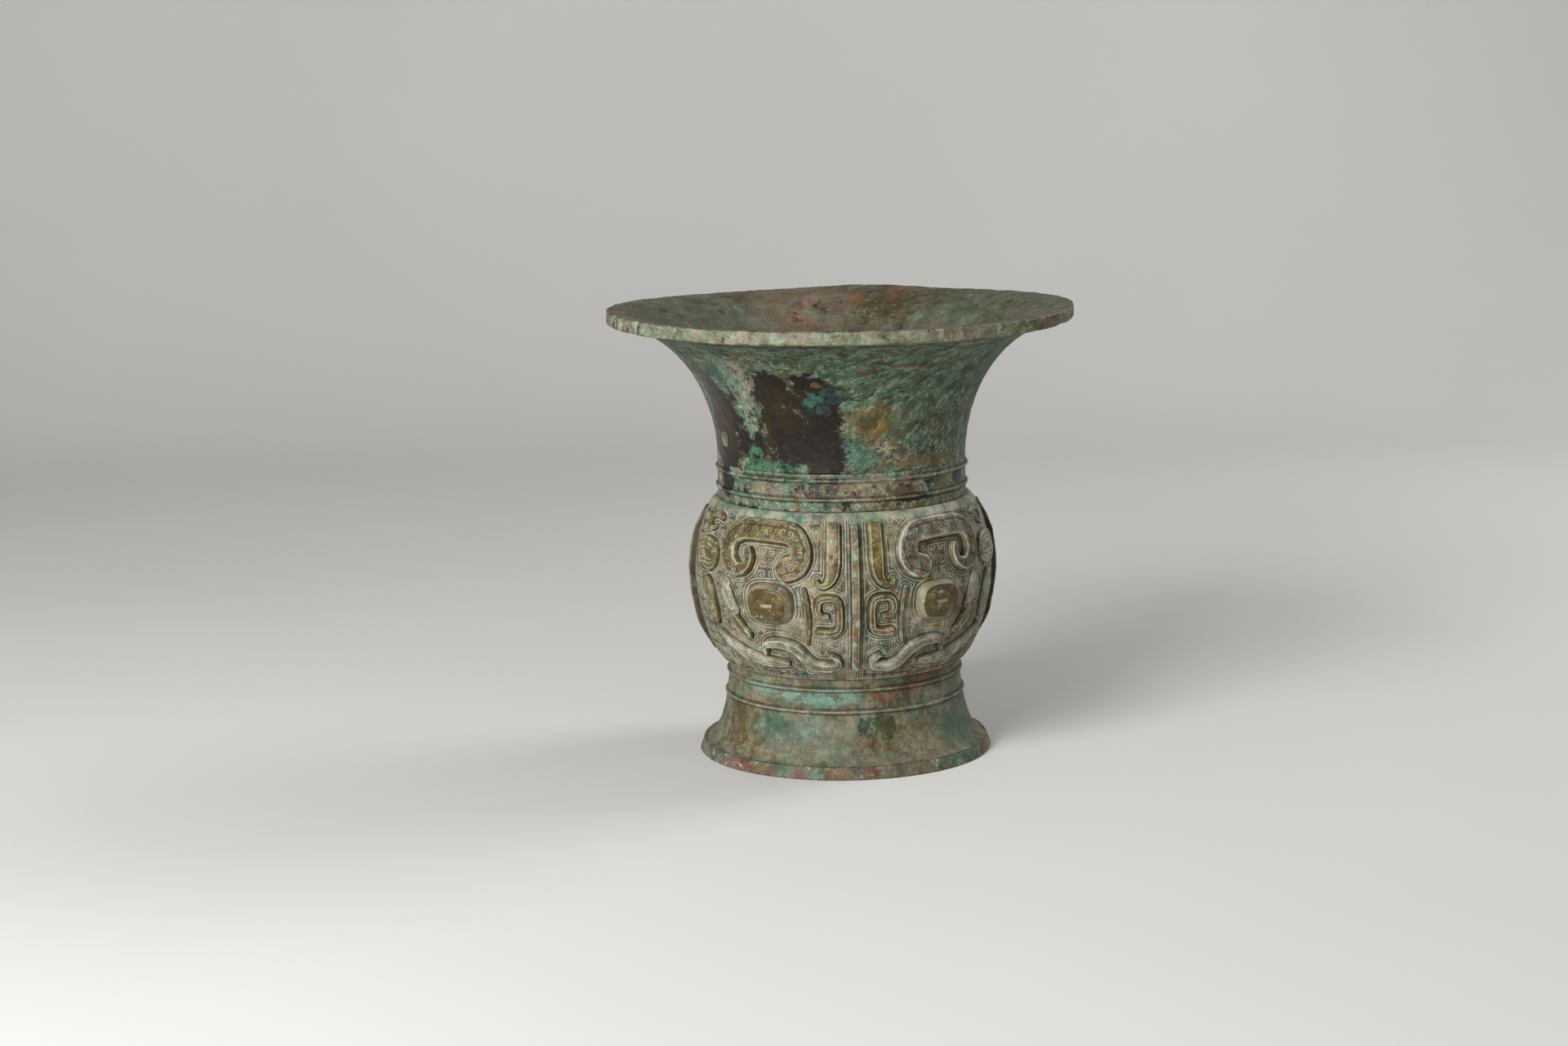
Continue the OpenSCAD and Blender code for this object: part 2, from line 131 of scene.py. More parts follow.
def rounded(inset: np.ndarray, width: float, power: float) -> np.ndarray:
    """Rise of a rounded edge, from 0 at its foot to 1 a width further in."""
    return 1 - (1 - np.clip(inset / width, 0, 1)) ** power


def rounded_square(angle: np.ndarray, squareness: float) -> tuple[np.ndarray, np.ndarray]:
    """The outline of a rounded square, from -1 to 1 both ways, at each angle round it.

    Args:
        angle: angles in radians.
        squareness: 2 gives a circle, more a squarer form.

    Returns:
        Places across and up.
    """
    x, y = np.cos(angle), np.sin(angle)
    power = 2 / squareness
    return np.sign(x) * np.abs(x) ** power, np.sign(y) * np.abs(y) ** power


def on_arc(start: float, end: float, steps: int) -> list[float]:
    """Evenly spaced angles from start to end."""
    return [start + (end - start) * i / steps for i in range(steps + 1)]


def round_axis(r: np.ndarray, angle: np.ndarray, z: np.ndarray) -> np.ndarray:
    """Points at a radius, at an angle from -Y towards +X and at a height, one row each."""
    return np.stack([r * np.sin(angle), -r * np.cos(angle), z], axis=1)


def distances(points: np.ndarray) -> np.ndarray:
    """How far along a line of points each of them lies."""
    return np.concatenate([[0], np.cumsum(np.linalg.norm(np.diff(points, axis=0), axis=1))])


def sampled(at: np.ndarray, along: np.ndarray, rows: np.ndarray) -> np.ndarray:
    """Rows that are known at distances along a line, worked out at other distances."""
    return np.stack([np.interp(at, along, column) for column in rows.T], axis=1)


def radius_on(curve: Profile, z: np.ndarray) -> np.ndarray:
    """Radius of a rising curve at each height z."""
    return np.interp(z, [p[1] for p in curve], [p[0] for p in curve])


def new_mesh(bm: bmesh.types.BMesh, name: str) -> bpy.types.Mesh:
    """A finished bmesh as a mesh.

    Args:
        bm: the bmesh, which is freed.
        name: the mesh's name.

    Returns:
        The mesh.
    """
    mesh = bpy.data.meshes.new(name)
    bm.to_mesh(mesh)
    bm.free()
    return mesh


def vectors(items: bpy.types.bpy_prop_collection, name: str) -> np.ndarray:
    """A vector that all of a mesh's vertices or faces hold, one row each.

    Args:
        items: the vertices or faces.
        name: the vector's name.

    Returns:
        The rows.
    """
    rows = np.empty(len(items) * 3)
    items.foreach_get(name, rows)
    return rows.reshape(-1, 3)


def add_object(name: str, data: bpy.types.ID) -> bpy.types.Object:
    """An object in the scene that holds a mesh, a lamp or a camera.

    Args:
        name: the object's name.
        data: what it holds.

    Returns:
        The object.
    """
    thing = bpy.data.objects.new(name, data)
    bpy.context.scene.collection.objects.link(thing)
    return thing


def empty_tree(owner: bpy.types.ID) -> Tree:
    """The node tree of a new material or world, with nothing in it.

    Args:
        owner: the material or world.

    Returns:
        The tree.
    """
    owner.use_nodes = True
    owner.node_tree.nodes.clear()
    return owner.node_tree


def add_node(tree: Tree, kind: str, inputs: Optional[dict] = None, **settings: object) -> bpy.types.Node:
    """Adds a shader node.

    Args:
        tree: the node tree that gets it.
        kind: the node's type.
        inputs: socket name or index to a value, or to the socket that feeds it.
        **settings: the node's own properties.

    Returns:
        The node.
    """
    node = tree.nodes.new(kind)
    for key, value in settings.items():
        setattr(node, key, value)
    for key, value in (inputs or {}).items():
        if isinstance(value, Socket):
            tree.links.new(value, node.inputs[key])
        else:
            node.inputs[key].default_value = value
    return node


@dataclass(frozen=True)
class VesselForm:
    """Levels and radii of the casting in millimetres, with the curves of its walls."""

    foot_r: float
    foot_band_h: float
    foot_h: float
    belly_r: float
    collar_z: float
    neck_r: float
    waist_z: float
    rim_z: float
    rim_r: float
    foot_splay: float = 2.2
    foot_wall: float = 3.2
    foot_sole: float = 2.0
    foot_waist_r: float = 63.0
    mid_rise: float = 50.0
    fullness: float = 1.65
    belly_wall: float = 4.0
    shoulder_w: float = 1.2
    floor_t: float = 3.5
    neck_wall: float = 3.5
    lip_w: float = 12.0
    lip_t: float = 7.5
    lip_round: float = 1.4
    steps: int = 60

    @classmethod
    def from_frame(cls) -> "VesselForm":
        """The form with the sizes that the CAD nodes' boxes hold.

        Returns:
            The form.
        """
        belly_low, belly_high = node_box("belly_wall")
        collar = node_box("neck_collar")[1]
        band = node_box("foot_band")[1]
        lip = node_box("mouth_lip")[1]
        return cls(
            foot_r=band.x, foot_band_h=band.z, foot_h=belly_low.z, belly_r=belly_high.x,
            collar_z=belly_high.z, neck_r=collar.x, waist_z=collar.z,
            rim_z=lip.z, rim_r=lip.x,
        )

    @property
    def mid_z(self) -> float:
        """Height of the belly's widest level."""
        return self.foot_h + self.mid_rise

    @property
    def lip_z(self) -> float:
        """Height of the lip's underside."""
        return self.rim_z - self.lip_t

    @property
    def bore_r(self) -> float:
        """Radius inside the neck."""
        return self.neck_r - self.neck_wall

    @property
    def floor_r(self) -> float:
        """Radius of the floor."""
        return self.foot_waist_r - self.foot_wall

    @property
    def shoulder_r(self) -> float:
        """Radius of the belly's upper edge."""
        return self.neck_r + self.shoulder_w

    def belly_at(self, z: np.ndarray) -> np.ndarray:
        """Radius of the belly's ground at each height z.

        Args:
            z: heights.

        Returns:
            One radius a height.
        """
        up = z > self.mid_z
        end = np.where(up, self.shoulder_r, self.foot_waist_r)
        t = np.abs(z - self.mid_z) / np.where(up, self.collar_z - self.mid_z, self.mid_z - self.foot_h)
        p = self.fullness
        return end + (self.belly_r - end) * (1 - np.minimum(t, 1) ** p) ** (1 / p)

    def on_belly(self, x: np.ndarray, z: np.ndarray, h: np.ndarray, turn: float) -> np.ndarray:
        """Points on the belly.

        Args:
            x: distances along the girth from the mask's nose.
            z: heights.
            h: distances above the ground.
            turn: where the mask faces, in degrees from -Y towards +X.

        Returns:
            Points in millimetres, one row each.
        """
        step = 0.2
        slope = (self.belly_at(z + step) - self.belly_at(z - step)) / (2 * step)
        length = np.sqrt(1 + slope ** 2)
        r = self.belly_at(z) + h / length
        return round_axis(r, x / self.belly_r + math.radians(turn), z - h * slope / length)

    def flare(self, waist: Point, mouth: Point) -> Profile:
        """Points of a flare that is upright at its waist and level at its mouth.

        Args:
            waist: radius and height of its narrow end.
            mouth: radius and height of its wide end.

        Returns:
            Points from the waist to the mouth.
        """
        wide, high = mouth[0] - waist[0], mouth[1] - waist[1]
        return [
            (waist[0] + wide * (1 - math.cos(a)), waist[1] + high * math.sin(a))
            for a in on_arc(0, math.pi / 2, self.steps)
        ]

    def bulge(self, low: Point, mid: Point, top: Point) -> Profile:
        """Points up a bulging wall, from its low end through its widest level to its top.

        Args:
            low: radius and height of its low end.
            mid: of its widest level.
            top: of its top.

        Returns:
            Points, rising.
        """
        points = []
        for i in range(-self.steps, self.steps + 1):
            a = math.pi / 2 * abs(i) / self.steps
            end = low if i < 0 else top
            p = 2 / self.fullness
            points.append((
                end[0] + (mid[0] - end[0]) * max(math.cos(a), 0) ** p,
                mid[1] + (end[1] - mid[1]) * math.sin(a) ** p,
            ))
        return points

    def neck_outside(self) -> Profile:
        """The neck's outer curve, from its waist to the lip's underside."""
        return self.flare((self.neck_r, self.waist_z), (self.rim_r, self.lip_z))

    def neck_inside(self) -> Profile:
        """The bore's curve, from the collar to the rim."""
        return self.flare((self.bore_r, self.waist_z - self.lip_t), (self.rim_r, self.rim_z))

    def foot_outside(self) -> Profile:
        """The foot's outer curve, from the belly down to its band."""
        mouth = self.foot_r - self.foot_splay
        return self.flare((self.foot_waist_r, self.foot_h), (mouth, self.foot_band_h))

    def foot_inside(self) -> Profile:
        """The curve of the hollow under the foot, from the floor down."""
        mouth = self.foot_r - self.foot_splay - self.foot_wall
        return self.flare((self.floor_r, self.foot_h), (mouth, self.foot_sole))

    def wall_at(self, z: float) -> float:
        """Outer radius of the vessel at height z.

        Args:
            z: a height.

        Returns:
            The radius.
        """
        if self.foot_h <= z <= self.collar_z:
            return float(self.belly_at(np.array([z]))[0])
        if self.collar_z < z <= self.waist_z:
            return self.neck_r
        curve = self.neck_outside() if z > self.waist_z else self.foot_outside()[::-1]
        return float(radius_on(curve, z))


FORM = VesselForm.from_frame()


def between(curve: Profile, low: float, high: float, axis: int) -> Profile:
    """The stretch of a curve whose coordinate lies from low to high, with its cut ends worked out.

    Args:
        curve: points that rise or fall steadily.
        low: where the stretch starts.
        high: where it ends.
        axis: 0 to cut by radius, 1 to cut by height.

    Returns:
        The stretch, rising in that coordinate.
    """
    values = [p[axis] for p in curve]
    order = curve if values[0] < values[-1] else curve[::-1]
    keys = [p[axis] for p in order]
    other = [p[1 - axis] for p in order]

    def at(value: float) -> Point:
        """The curve's point at a value of the coordinate."""
        found = float(np.interp(value, keys, other))
        return (value, found) if axis == 0 else (found, value)

    kept = [p for p in order if low < p[axis] < high]
    return [at(low), *kept, at(high)]


def evenly(loop: Profile, spacing: float) -> Profile:
    """A closed outline with points added, so that none lie further apart than spacing.

    Args:
        loop: the outline's corners.
        spacing: the widest gap in millimetres.

    Returns:
        The outline.
    """
    points: Profile = []
    for a, b in zip(loop, loop[1:] + loop[:1]):
        count = max(1, math.ceil(math.dist(a, b) / spacing))
        shares = [i / count for i in range(count)]
        points += [(a[0] + (b[0] - a[0]) * s, a[1] + (b[1] - a[1]) * s) for s in shares]
    return points


class Where(Enum):
    """The part of a carved surface that a stain keeps to: a note on its mesh, where it starts and is full."""

    ANYWHERE = None
    HOLLOWS = ("hollow", 0.2, 0.8)
    EDGES = ("rubbed", 0.25, 0.8)


@dataclass(frozen=True)
class Blot:
    """A stain's place on the wall, in degrees from the front flange and millimetres."""

    turn: float
    height: float
    girth: float
    rise: float
    tilt: float = 0.0
    depth: float = 16.0


# Girth and depth of a blot that runs right round the vessel
ALL_ROUND = 400.0
# The noise's mean, and how widely its values spread round it
NOISE_MEAN, NOISE_SPREAD = 0.5, 0.06
# In millimetres: the flecks that a blot is made of, the noise that frays its edge and the broad mottling
FLECK, FRAY, CLOUD = 4.0, 16.0, 8.0
# How soft the flecks' edges are, as a share of the noise's spread
FLECK_SOFT = 0.8
# Width of a blot's edge at a softness of 1, as a share of the blot
BLOT_SOFT = 0.25


@dataclass(frozen=True)
class Stain:
    """A layer of corrosion, earth, oxide or wear, over what lies under it."""

    dark: str
    light: str
    size: float
    cover: float
    roughness: float
    soft: float = 0.25
    crust: float = 0.0
    metallic: float = 0.0
    where: Where = Where.ANYWHERE
    strength: float = 1.0
    seed: float = 0.0
    stretch: tuple[float, float, float] = (1.0, 1.0, 1.0)
    slant: float = 0.0
    blots: tuple[Blot, ...] = ()
    ragged: float = 7.0
    hole: float = 0.0
    fill: float = 1.0

    def toned(self, dark: str, light: str, **changes: object) -> "Stain":
        """The same stain in other tones."""
        return replace(self, dark=dark, light=light, **changes)

    def spread(self, size: float, cover: float, seed: float, **changes: object) -> "Stain":
        """The same stain, scattered over a share of the surface."""
        return replace(self, size=size, cover=cover, seed=seed, **changes)

    def also_at(self, *blots: Blot, **changes: object) -> "Stain":
        """The same stain, at listed places too."""
        return replace(self, blots=blots, **changes)

    def only_at(self, *blots: Blot, **changes: object) -> "Stain":
        """The same stain, at listed places and nowhere else."""
        return self.also_at(*blots, cover=0.0, **changes)

    def colour(self, tree: Tree, grain: Socket) -> Socket:
        """The stain's own mottled colour, between its dark and its light tone."""
        tones = {0: grain, 6: linear(self.dark), 7: linear(self.light)}
        return add_node(tree, "ShaderNodeMix", tones, data_type="RGBA").outputs[2]

    def scattered(self, tree: Tree, coords: Socket) -> Socket:
        """Noise blots that cover a share of the whole surface.

        Args:
            tree: the material's nodes.
            coords: the surface's coordinates.

        Returns:
            A socket from 0, clear, to 1, covered.
        """
        placed = add_node(tree, "ShaderNodeMapping", {
            "Vector": coords, "Rotation": (0.0, math.radians(self.slant), 0.0), "Scale": self.stretch},
            vector_type="TEXTURE").outputs[0]
        return self.flecks(tree, placed, self.size, self.cover, self.soft)

    def flecks(self, tree: Tree, coords: Socket, size: float, cover: float, soft: float) -> Socket:
        """Noise of a size in millimetres, cut off so that it covers a share of the surface.

        Args:
            tree: the material's nodes.
            coords: the surface's coordinates.
            size: typical size of a fleck.
            cover: share of the surface that the flecks cover.
            soft: width of their edges, as a share of the noise's spread.

        Returns:
            A socket from 0, clear, to 1, covered.
        """
        noise = add_node(tree, "ShaderNodeTexNoise", {
            "Vector": coords, "W": self.seed, "Scale": 1 / (size * MM), "Detail": 9.0,
            "Roughness": 0.72, "Distortion": 0.3}, noise_dimensions="4D")
        level = NOISE_MEAN + NOISE_SPREAD * NormalDist().inv_cdf(1 - cover)
        reach = NOISE_SPREAD * soft
        return add_node(tree, "ShaderNodeMapRange", {
            "Value": noise.outputs[0], "From Min": level - reach, "From Max": level + reach},
            interpolation_type="SMOOTHSTEP").outputs[0]

    def placed(self, tree: Tree, coords: Socket, shake: Socket) -> Socket:
        """The listed blots.

        Args:
            tree: the material's nodes.
            coords: the surface's coordinates.
            shake: noise that frays the blots' edges.

        Returns:
            A socket from 0, clear, to 1, covered.
        """
        nearest: Optional[Socket] = None
        for blot in self.blots:
            turn = math.radians(blot.turn)
            r = FORM.wall_at(blot.height)
            local = add_node(tree, "ShaderNodeMapping", {
                "Vector": coords,
                "Location": (r * math.sin(turn) * MM, -r * math.cos(turn) * MM, blot.height * MM),
                "Rotation": (0.0, math.radians(blot.tilt), turn),
                "Scale": (blot.girth * MM, blot.depth * MM, blot.rise * MM)}, vector_type="TEXTURE")
            away = add_node(tree, "ShaderNodeVectorMath", {0: local.outputs[0]}, operation="LENGTH")
            away = away.outputs["Value"]
            nearest = away if nearest is None else add_node(
                tree, "ShaderNodeMath", {0: nearest, 1: away}, operation="MINIMUM").outputs[0]
        edge = add_node(tree, "ShaderNodeMath", {
            0: shake, 1: self.ragged, 2: nearest}, operation="MULTIPLY_ADD").outputs[0]
        middle = 1 + NOISE_MEAN * self.ragged
        reach = BLOT_SOFT * self.soft
        steps = [(middle + reach, middle - reach)]
        if self.hole:
            inner = middle - 1 + self.hole
            steps.append((inner - reach, inner + reach))
        parts = [add_node(tree, "ShaderNodeMapRange", {
            "Value": edge, "From Min": low, "From Max": high},
            interpolation_type="SMOOTHSTEP").outputs[0] for low, high in steps]
        if self.fill < 1:
            parts.append(self.flecks(tree, coords, FLECK, self.fill, FLECK_SOFT))
        inside = parts[0]
        for part in parts[1:]:
            inside = add_node(tree, "ShaderNodeMath", {0: inside, 1: part}, operation="MULTIPLY").outputs[0]
        return inside

    def mask(self, tree: Tree, surface: "Surface") -> Socket:
        """Where the stain lies.

        Args:
            tree: the material's nodes.
            surface: the sockets that say where a point of the surface is.

        Returns:
            A socket from 0, clear, to 1, covered.
        """
        parts: list[Socket] = []
        if self.cover > 0:
            parts.append(self.scattered(tree, surface.coords))
        if self.blots:
            parts.append(self.placed(tree, surface.coords, surface.shake))
        total = parts[0]
        for part in parts[1:]:
            total = add_node(tree, "ShaderNodeMath", {0: total, 1: part}, operation="MAXIMUM").outputs[0]
        if self.where is not Where.ANYWHERE:
            note, low, high = self.where.value
            keep = add_node(tree, "ShaderNodeMapRange", {
                "Value": surface.notes[note], "From Min": low, "From Max": high},
                interpolation_type="SMOOTHSTEP")
            total = add_node(tree, "ShaderNodeMath", {
                0: total, 1: keep.outputs[0]}, operation="MULTIPLY").outputs[0]
        if self.strength < 1:
            total = add_node(tree, "ShaderNodeMath", {
                0: total, 1: self.strength}, operation="MULTIPLY").outputs[0]
        return total


@dataclass(frozen=True)
class Surface:
    """Sockets that place a point: its coordinates, fraying noise, and the notes that its mesh holds."""

    coords: Socket
    shake: Socket
    notes: dict[str, Socket]


@dataclass(frozen=True)
class Finish:
    """A patinated bronze surface: a ground colour under a stack of stains."""

    name: str
    ground: Stain
    stains: tuple[Stain, ...]
    grain: float = 0.9
    grit: float = 0.06
    grain_share: float = 0.4
    mottle: Point = (0.42, 0.58)
    gloss_swing: float = 0.1
    specular: float = 0.38

    def material(self) -> bpy.types.Material:
        """The finish as a material, made once."""
        made = bpy.data.materials.get(self.name)
        return made if made else self.build()

    def build(self) -> bpy.types.Material:
        """Makes the material's nodes: each stain covers the colour, gloss and height of those before it.

        Returns:
            The material.
        """
        material = bpy.data.materials.new(self.name)
        tree = empty_tree(material)
        coords = add_node(tree, "ShaderNodeTexCoord").outputs["Object"]
        shake, fine, broad = (
            add_node(tree, "ShaderNodeTexNoise", {
                "Vector": coords, "Scale": 1 / (size * MM), "Detail": detail, "Roughness": rough}).outputs[0]
            for size, detail, rough in ((FRAY, 10.0, 0.76), (self.grain, 5.0, 0.7), (CLOUD, 8.0, 0.7))
        )
        surface = Surface(coords, shake, {
            note: add_node(tree, "ShaderNodeAttribute", attribute_name=note).outputs["Fac"]
            for note in ("hollow", "rubbed")})
        both = add_node(tree, "ShaderNodeMix", {
            0: self.grain_share, 2: broad, 3: fine}, data_type="FLOAT").outputs[0]
        low, high = self.mottle
        mottle = add_node(tree, "ShaderNodeMapRange", {
            "Value": both, "From Min": low, "From Max": high}).outputs[0]

        colour = self.ground.colour(tree, mottle)
        gloss = add_node(tree, "ShaderNodeMath", {
            0: mottle, 1: self.gloss_swing, 2: self.ground.roughness - self.gloss_swing / 2},
            operation="MULTIPLY_ADD").outputs[0]
        metal = add_node(tree, "ShaderNodeMath", {
            0: mottle, 1: self.ground.metallic}, operation="MULTIPLY").outputs[0]
        height = add_node(tree, "ShaderNodeMath", {0: fine, 1: self.grit}, operation="MULTIPLY").outputs[0]
        for stain in self.stains:
            mask = stain.mask(tree, surface)
            colour = add_node(tree, "ShaderNodeMix", {
                0: mask, 6: colour, 7: stain.colour(tree, mottle)}, data_type="RGBA").outputs[2]
            gloss = add_node(tree, "ShaderNodeMix", {
                0: mask, 2: gloss, 3: stain.roughness}, data_type="FLOAT").outputs[0]
            metal = add_node(tree, "ShaderNodeMix", {
                0: mask, 2: metal, 3: stain.metallic}, data_type="FLOAT").outputs[0]
            if stain.crust:
                height = add_node(tree, "ShaderNodeMath", {
                    0: mask, 1: stain.crust, 2: height}, operation="MULTIPLY_ADD").outputs[0]
        bump = add_node(tree, "ShaderNodeBump", {"Strength": 1.0, "Distance": MM, "Height": height})
        shader = add_node(tree, "ShaderNodeBsdfPrincipled", {
            "Base Color": colour, "Roughness": gloss, "Metallic": metal,
            "Specular IOR Level": self.specular, "Normal": bump.outputs[0]})
        add_node(tree, "ShaderNodeOutputMaterial", {"Surface": shader.outputs[0]})
        return material


# Smooth dark brown oxide on leaded tin bronze: glossy, nearly black
DARK_OXIDE = Stain(
    "#0d0804", "#1d140a", size=40, cover=0.0, roughness=0.24, soft=0.5, metallic=0.2, ragged=2.6)
# Olive brown bronze, polished by handling
OLIVE = Stain("#493d1f", "#7d7040", size=14, cover=0.4, roughness=0.4, soft=0.6, metallic=0.2)
# Malachite: dull green copper carbonate in a thin skin
MALACHITE = Stain("#30493a", "#5d7862", size=18, cover=0.4, roughness=0.72, soft=0.8, crust=0.03)
# Emerald malachite in thick velvety blots
EMERALD = Stain("#163b27", "#3e7050", size=5, cover=0.0, roughness=0.7, crust=0.1, ragged=6.0, fill=0.68)
# Pale verdigris: a powdery blue green
VERDIGRIS = Stain("#647a6b", "#98a894", size=11, cover=0.2, roughness=0.85, crust=0.06, fill=0.75)
# Teal copper chloride
TEAL = Stain("#35614f", "#648a76", size=8, cover=0.12, roughness=0.78, soft=0.5, crust=0.06, fill=0.72)
# Azurite: dark blue crust
AZURITE = Stain("#1f2c30", "#43585b", size=6, cover=0.0, roughness=0.7, crust=0.06, fill=0.7)
# Burial earth: tan and pinkish crust, matt
EARTH = Stain("#74654f", "#a8977f", size=7, cover=0.3, roughness=0.9, soft=0.4, crust=0.07, fill=0.65)
# Cuprite: dull red specks that show through the green
CUPRITE = Stain("#4f2620", "#7d443a", size=5, cover=0.05, roughness=0.7, soft=0.5, crust=0.02, fill=0.4)
# Ochre brown alloy of a spacer that stayed in the wall
OCHRE = Stain("#4c3a1d", "#7d6339", size=8, cover=0.0, roughness=0.6, soft=1.0, crust=0.03, fill=0.8)
# Earth and dark oxide left in the bottom of the carving; the same stain is painted shade along the cords'
# creases and at the feet of the relief bands, the eyes and the flanges
RECESS_EARTH_AND_SHADE = Stain(
    "#16120a", "#2e271a", size=30, cover=0.985, roughness=0.75, where=Where.HOLLOWS, strength=0.86)
# Edges worn pale, where the crust is thin and dust clings; on the cords' crests the same stain is a painted
# highlight, and on the flanges' shoulders partly one
PALE_WEAR_AND_HIGHLIGHT = Stain(
    "#948c74", "#b9b29c", size=9, cover=0.62, roughness=0.7, soft=1.2, where=Where.EDGES, strength=0.55)

# Flared neck: streaky malachite with brown gloss where the crust has come away, and pale blots
NECK = Finish(
    "bronze_neck_malachite_and_dark_oxide",
    MALACHITE.toned("#26321f", "#516048"),
    (
        EARTH.toned("#453f2c", "#6b634c").spread(32, 0.36, 3, soft=1.8, crust=0.02, strength=0.75),
        TEAL.toned("#294f3f", "#4b7761").spread(26, 0.34, 1.5, soft=1.8, crust=0.02, strength=0.75),
        DARK_OXIDE.toned("#171d12", "#27311f").spread(
            4, 0.27, 5, soft=0.8, roughness=0.55, metallic=0, stretch=(2.6, 1, 1), slant=-28,
            strength=0.9),
        EARTH.toned("#62624e", "#888a72").spread(
            2.6, 0.2, 2, soft=0.6, crust=0.04, stretch=(2.4, 1, 1), slant=-28, strength=0.95),
        VERDIGRIS.toned("#567060", "#809a85").spread(
            2.6, 0.16, 4, soft=0.6, crust=0.03, stretch=(2.2, 1, 1), slant=-28, strength=0.9),
        # Painted shade under the lip: a dark band right round the top of the neck
        DARK_OXIDE.toned("#191d13", "#2b3121").only_at(
            Blot(0, 236, ALL_ROUND, 5, depth=ALL_ROUND), roughness=0.6, metallic=0, soft=2.5, ragged=3,
            strength=0.75),
        OLIVE.toned("#382e17", "#5f512c").spread(20, 0.06, 6, roughness=0.5, soft=1.2),
        CUPRITE.spread(5, 0.02, 7, strength=0.6).also_at(Blot(19, 218, 15, 0.9)),
        # Patches of brown gloss on the back, then on the front
        DARK_OXIDE.only_at(
            Blot(104, 186, 22, 20), Blot(122, 202, 16, 14), Blot(187, 172, 28, 10),
            Blot(216, 200, 17, 19), Blot(240, 178, 15, 12)),
        DARK_OXIDE.only_at(
            Blot(-31, 205, 13, 13), Blot(-17, 206, 13, 8), Blot(-31, 184, 16, 18),
            Blot(-12, 177, 13.5, 14), Blot(-25, 171, 18, 10), Blot(-13, 163, 11, 7),
            Blot(-12, 191, 12, 12), Blot(-68, 184, 23, 34), Blot(-86, 194, 16, 32),
            Blot(-47, 173, 12, 8), ragged=3.4),
        OLIVE.toned("#1a1204", "#3a2c0c").only_at(
            Blot(-27, 199, 13, 12), Blot(-38, 180, 4, 14), Blot(-62, 182, 5, 16), Blot(-80, 178, 4, 16),
            Blot(108, 190, 11, 10), Blot(218, 202, 10, 10), roughness=0.28, soft=4, strength=0.9,
            ragged=5),
        VERDIGRIS.toned("#4d5f52", "#7c8c79").only_at(
            Blot(-47, 216, 12, 9), Blot(-46, 206, 7, 9), Blot(-47, 191, 2.6, 13),
            Blot(-76, 200, 2.2, 12, tilt=8), Blot(-90, 200, 3, 26), Blot(160, 200, 9, 14), ragged=4.5,
            fill=0.7),
        EARTH.only_at(
            Blot(-42, 213, 6, 9), Blot(-45, 193, 2, 12), Blot(162, 204, 6, 9), ragged=4.5, fill=0.5),
        AZURITE.toned("#24403f", "#4a6663").only_at(Blot(-56, 214, 6, 7), Blot(-62, 222, 8, 4), fill=0.5),
        EMERALD.only_at(
            Blot(-40, 162.5, 18, 3.6), Blot(-46, 168, 4, 6), Blot(90, 165, 12, 6),
            Blot(200, 163, 15, 4)),
        TEAL.toned("#2c4d3f", "#527363").only_at(
            Blot(-1, 177, 4, 6), Blot(140, 188, 6, 7), Blot(3, 168, 5, 4), fill=0.6),
        AZURITE.toned("#152522", "#2f4942").only_at(
            Blot(-8, 203, 9, 4.5), Blot(-13, 194, 6, 3), Blot(232, 206, 7, 5)),
        TEAL.toned("#1f4a3b", "#417460").only_at(Blot(-16, 200, 4, 4.6), ragged=6, fill=0.6),
        OCHRE.only_at(Blot(33, 164, 20, 3), Blot(-14, 208, 3, 1.8), Blot(95, 172, 10, 5), strength=0.8),
        OCHRE.toned("#513e1a", "#856a33").only_at(Blot(7, 187, 10, 8.5), hole=0.4, ragged=6, fill=0.8),
        OLIVE.toned("#3a3014", "#5b5126").only_at(
            Blot(7, 186, 4.2, 4.2), Blot(21, 176, 2.6, 5, tilt=25), strength=0.85, ragged=3),
        EARTH.only_at(Blot(17, 171, 10, 6), Blot(28, 190, 5, 4), strength=0.9, fill=0.5),
        RECESS_EARTH_AND_SHADE,
    ),
)
# Inside of the neck and the belly: smooth brown oxide under earth, with green flecks
INSIDE = Finish(
    "bronze_bore_brown_oxide_and_earth",
    EARTH.toned("#3c3224", "#5c4e3a", roughness=0.6),
    (
        EARTH.toned("#4c4135", "#6a5d4e").spread(40, 0.4, 11, soft=2, crust=0.02, strength=0.8),
        MALACHITE.toned("#3d4b3a", "#616f58").spread(36, 0.28, 13, soft=1.6, strength=0.75).also_at(
            Blot(213, 232, 34, 14, depth=40), Blot(240, 236, 26, 9, depth=40),
            Blot(124, 232, 36, 15, depth=40), ragged=3),
        OLIVE.toned("#332a18", "#514729").spread(
            36, 0.22, 12, soft=1.6, roughness=0.5, metallic=0.1, strength=0.8).also_at(
            Blot(258, 234, 30, 12, depth=40), Blot(160, 232, 17, 12, depth=40), ragged=3),
        EARTH.toned("#5b4838", "#7b6754").only_at(
            Blot(190, 231, 24, 15, depth=40), soft=2, roughness=0.5, crust=0, fill=1, ragged=3,
            strength=0.8),
        TEAL.toned("#385a4a", "#5d7d69").spread(
            3.2, 0.1, 13.5, soft=0.7, stretch=(3, 1, 1), strength=0.85),
        EARTH.spread(3, 0.05, 14, soft=0.9, strength=0.5),
        DARK_OXIDE.spread(14, 0.05, 15, roughness=0.42, soft=0.8, strength=0.8),
        OCHRE.toned("#5b3a1c", "#7f5730").only_at(
            Blot(158, 238, 6, 5, depth=20), Blot(170, 234, 5, 5, depth=20), strength=0.7),
    ),
)
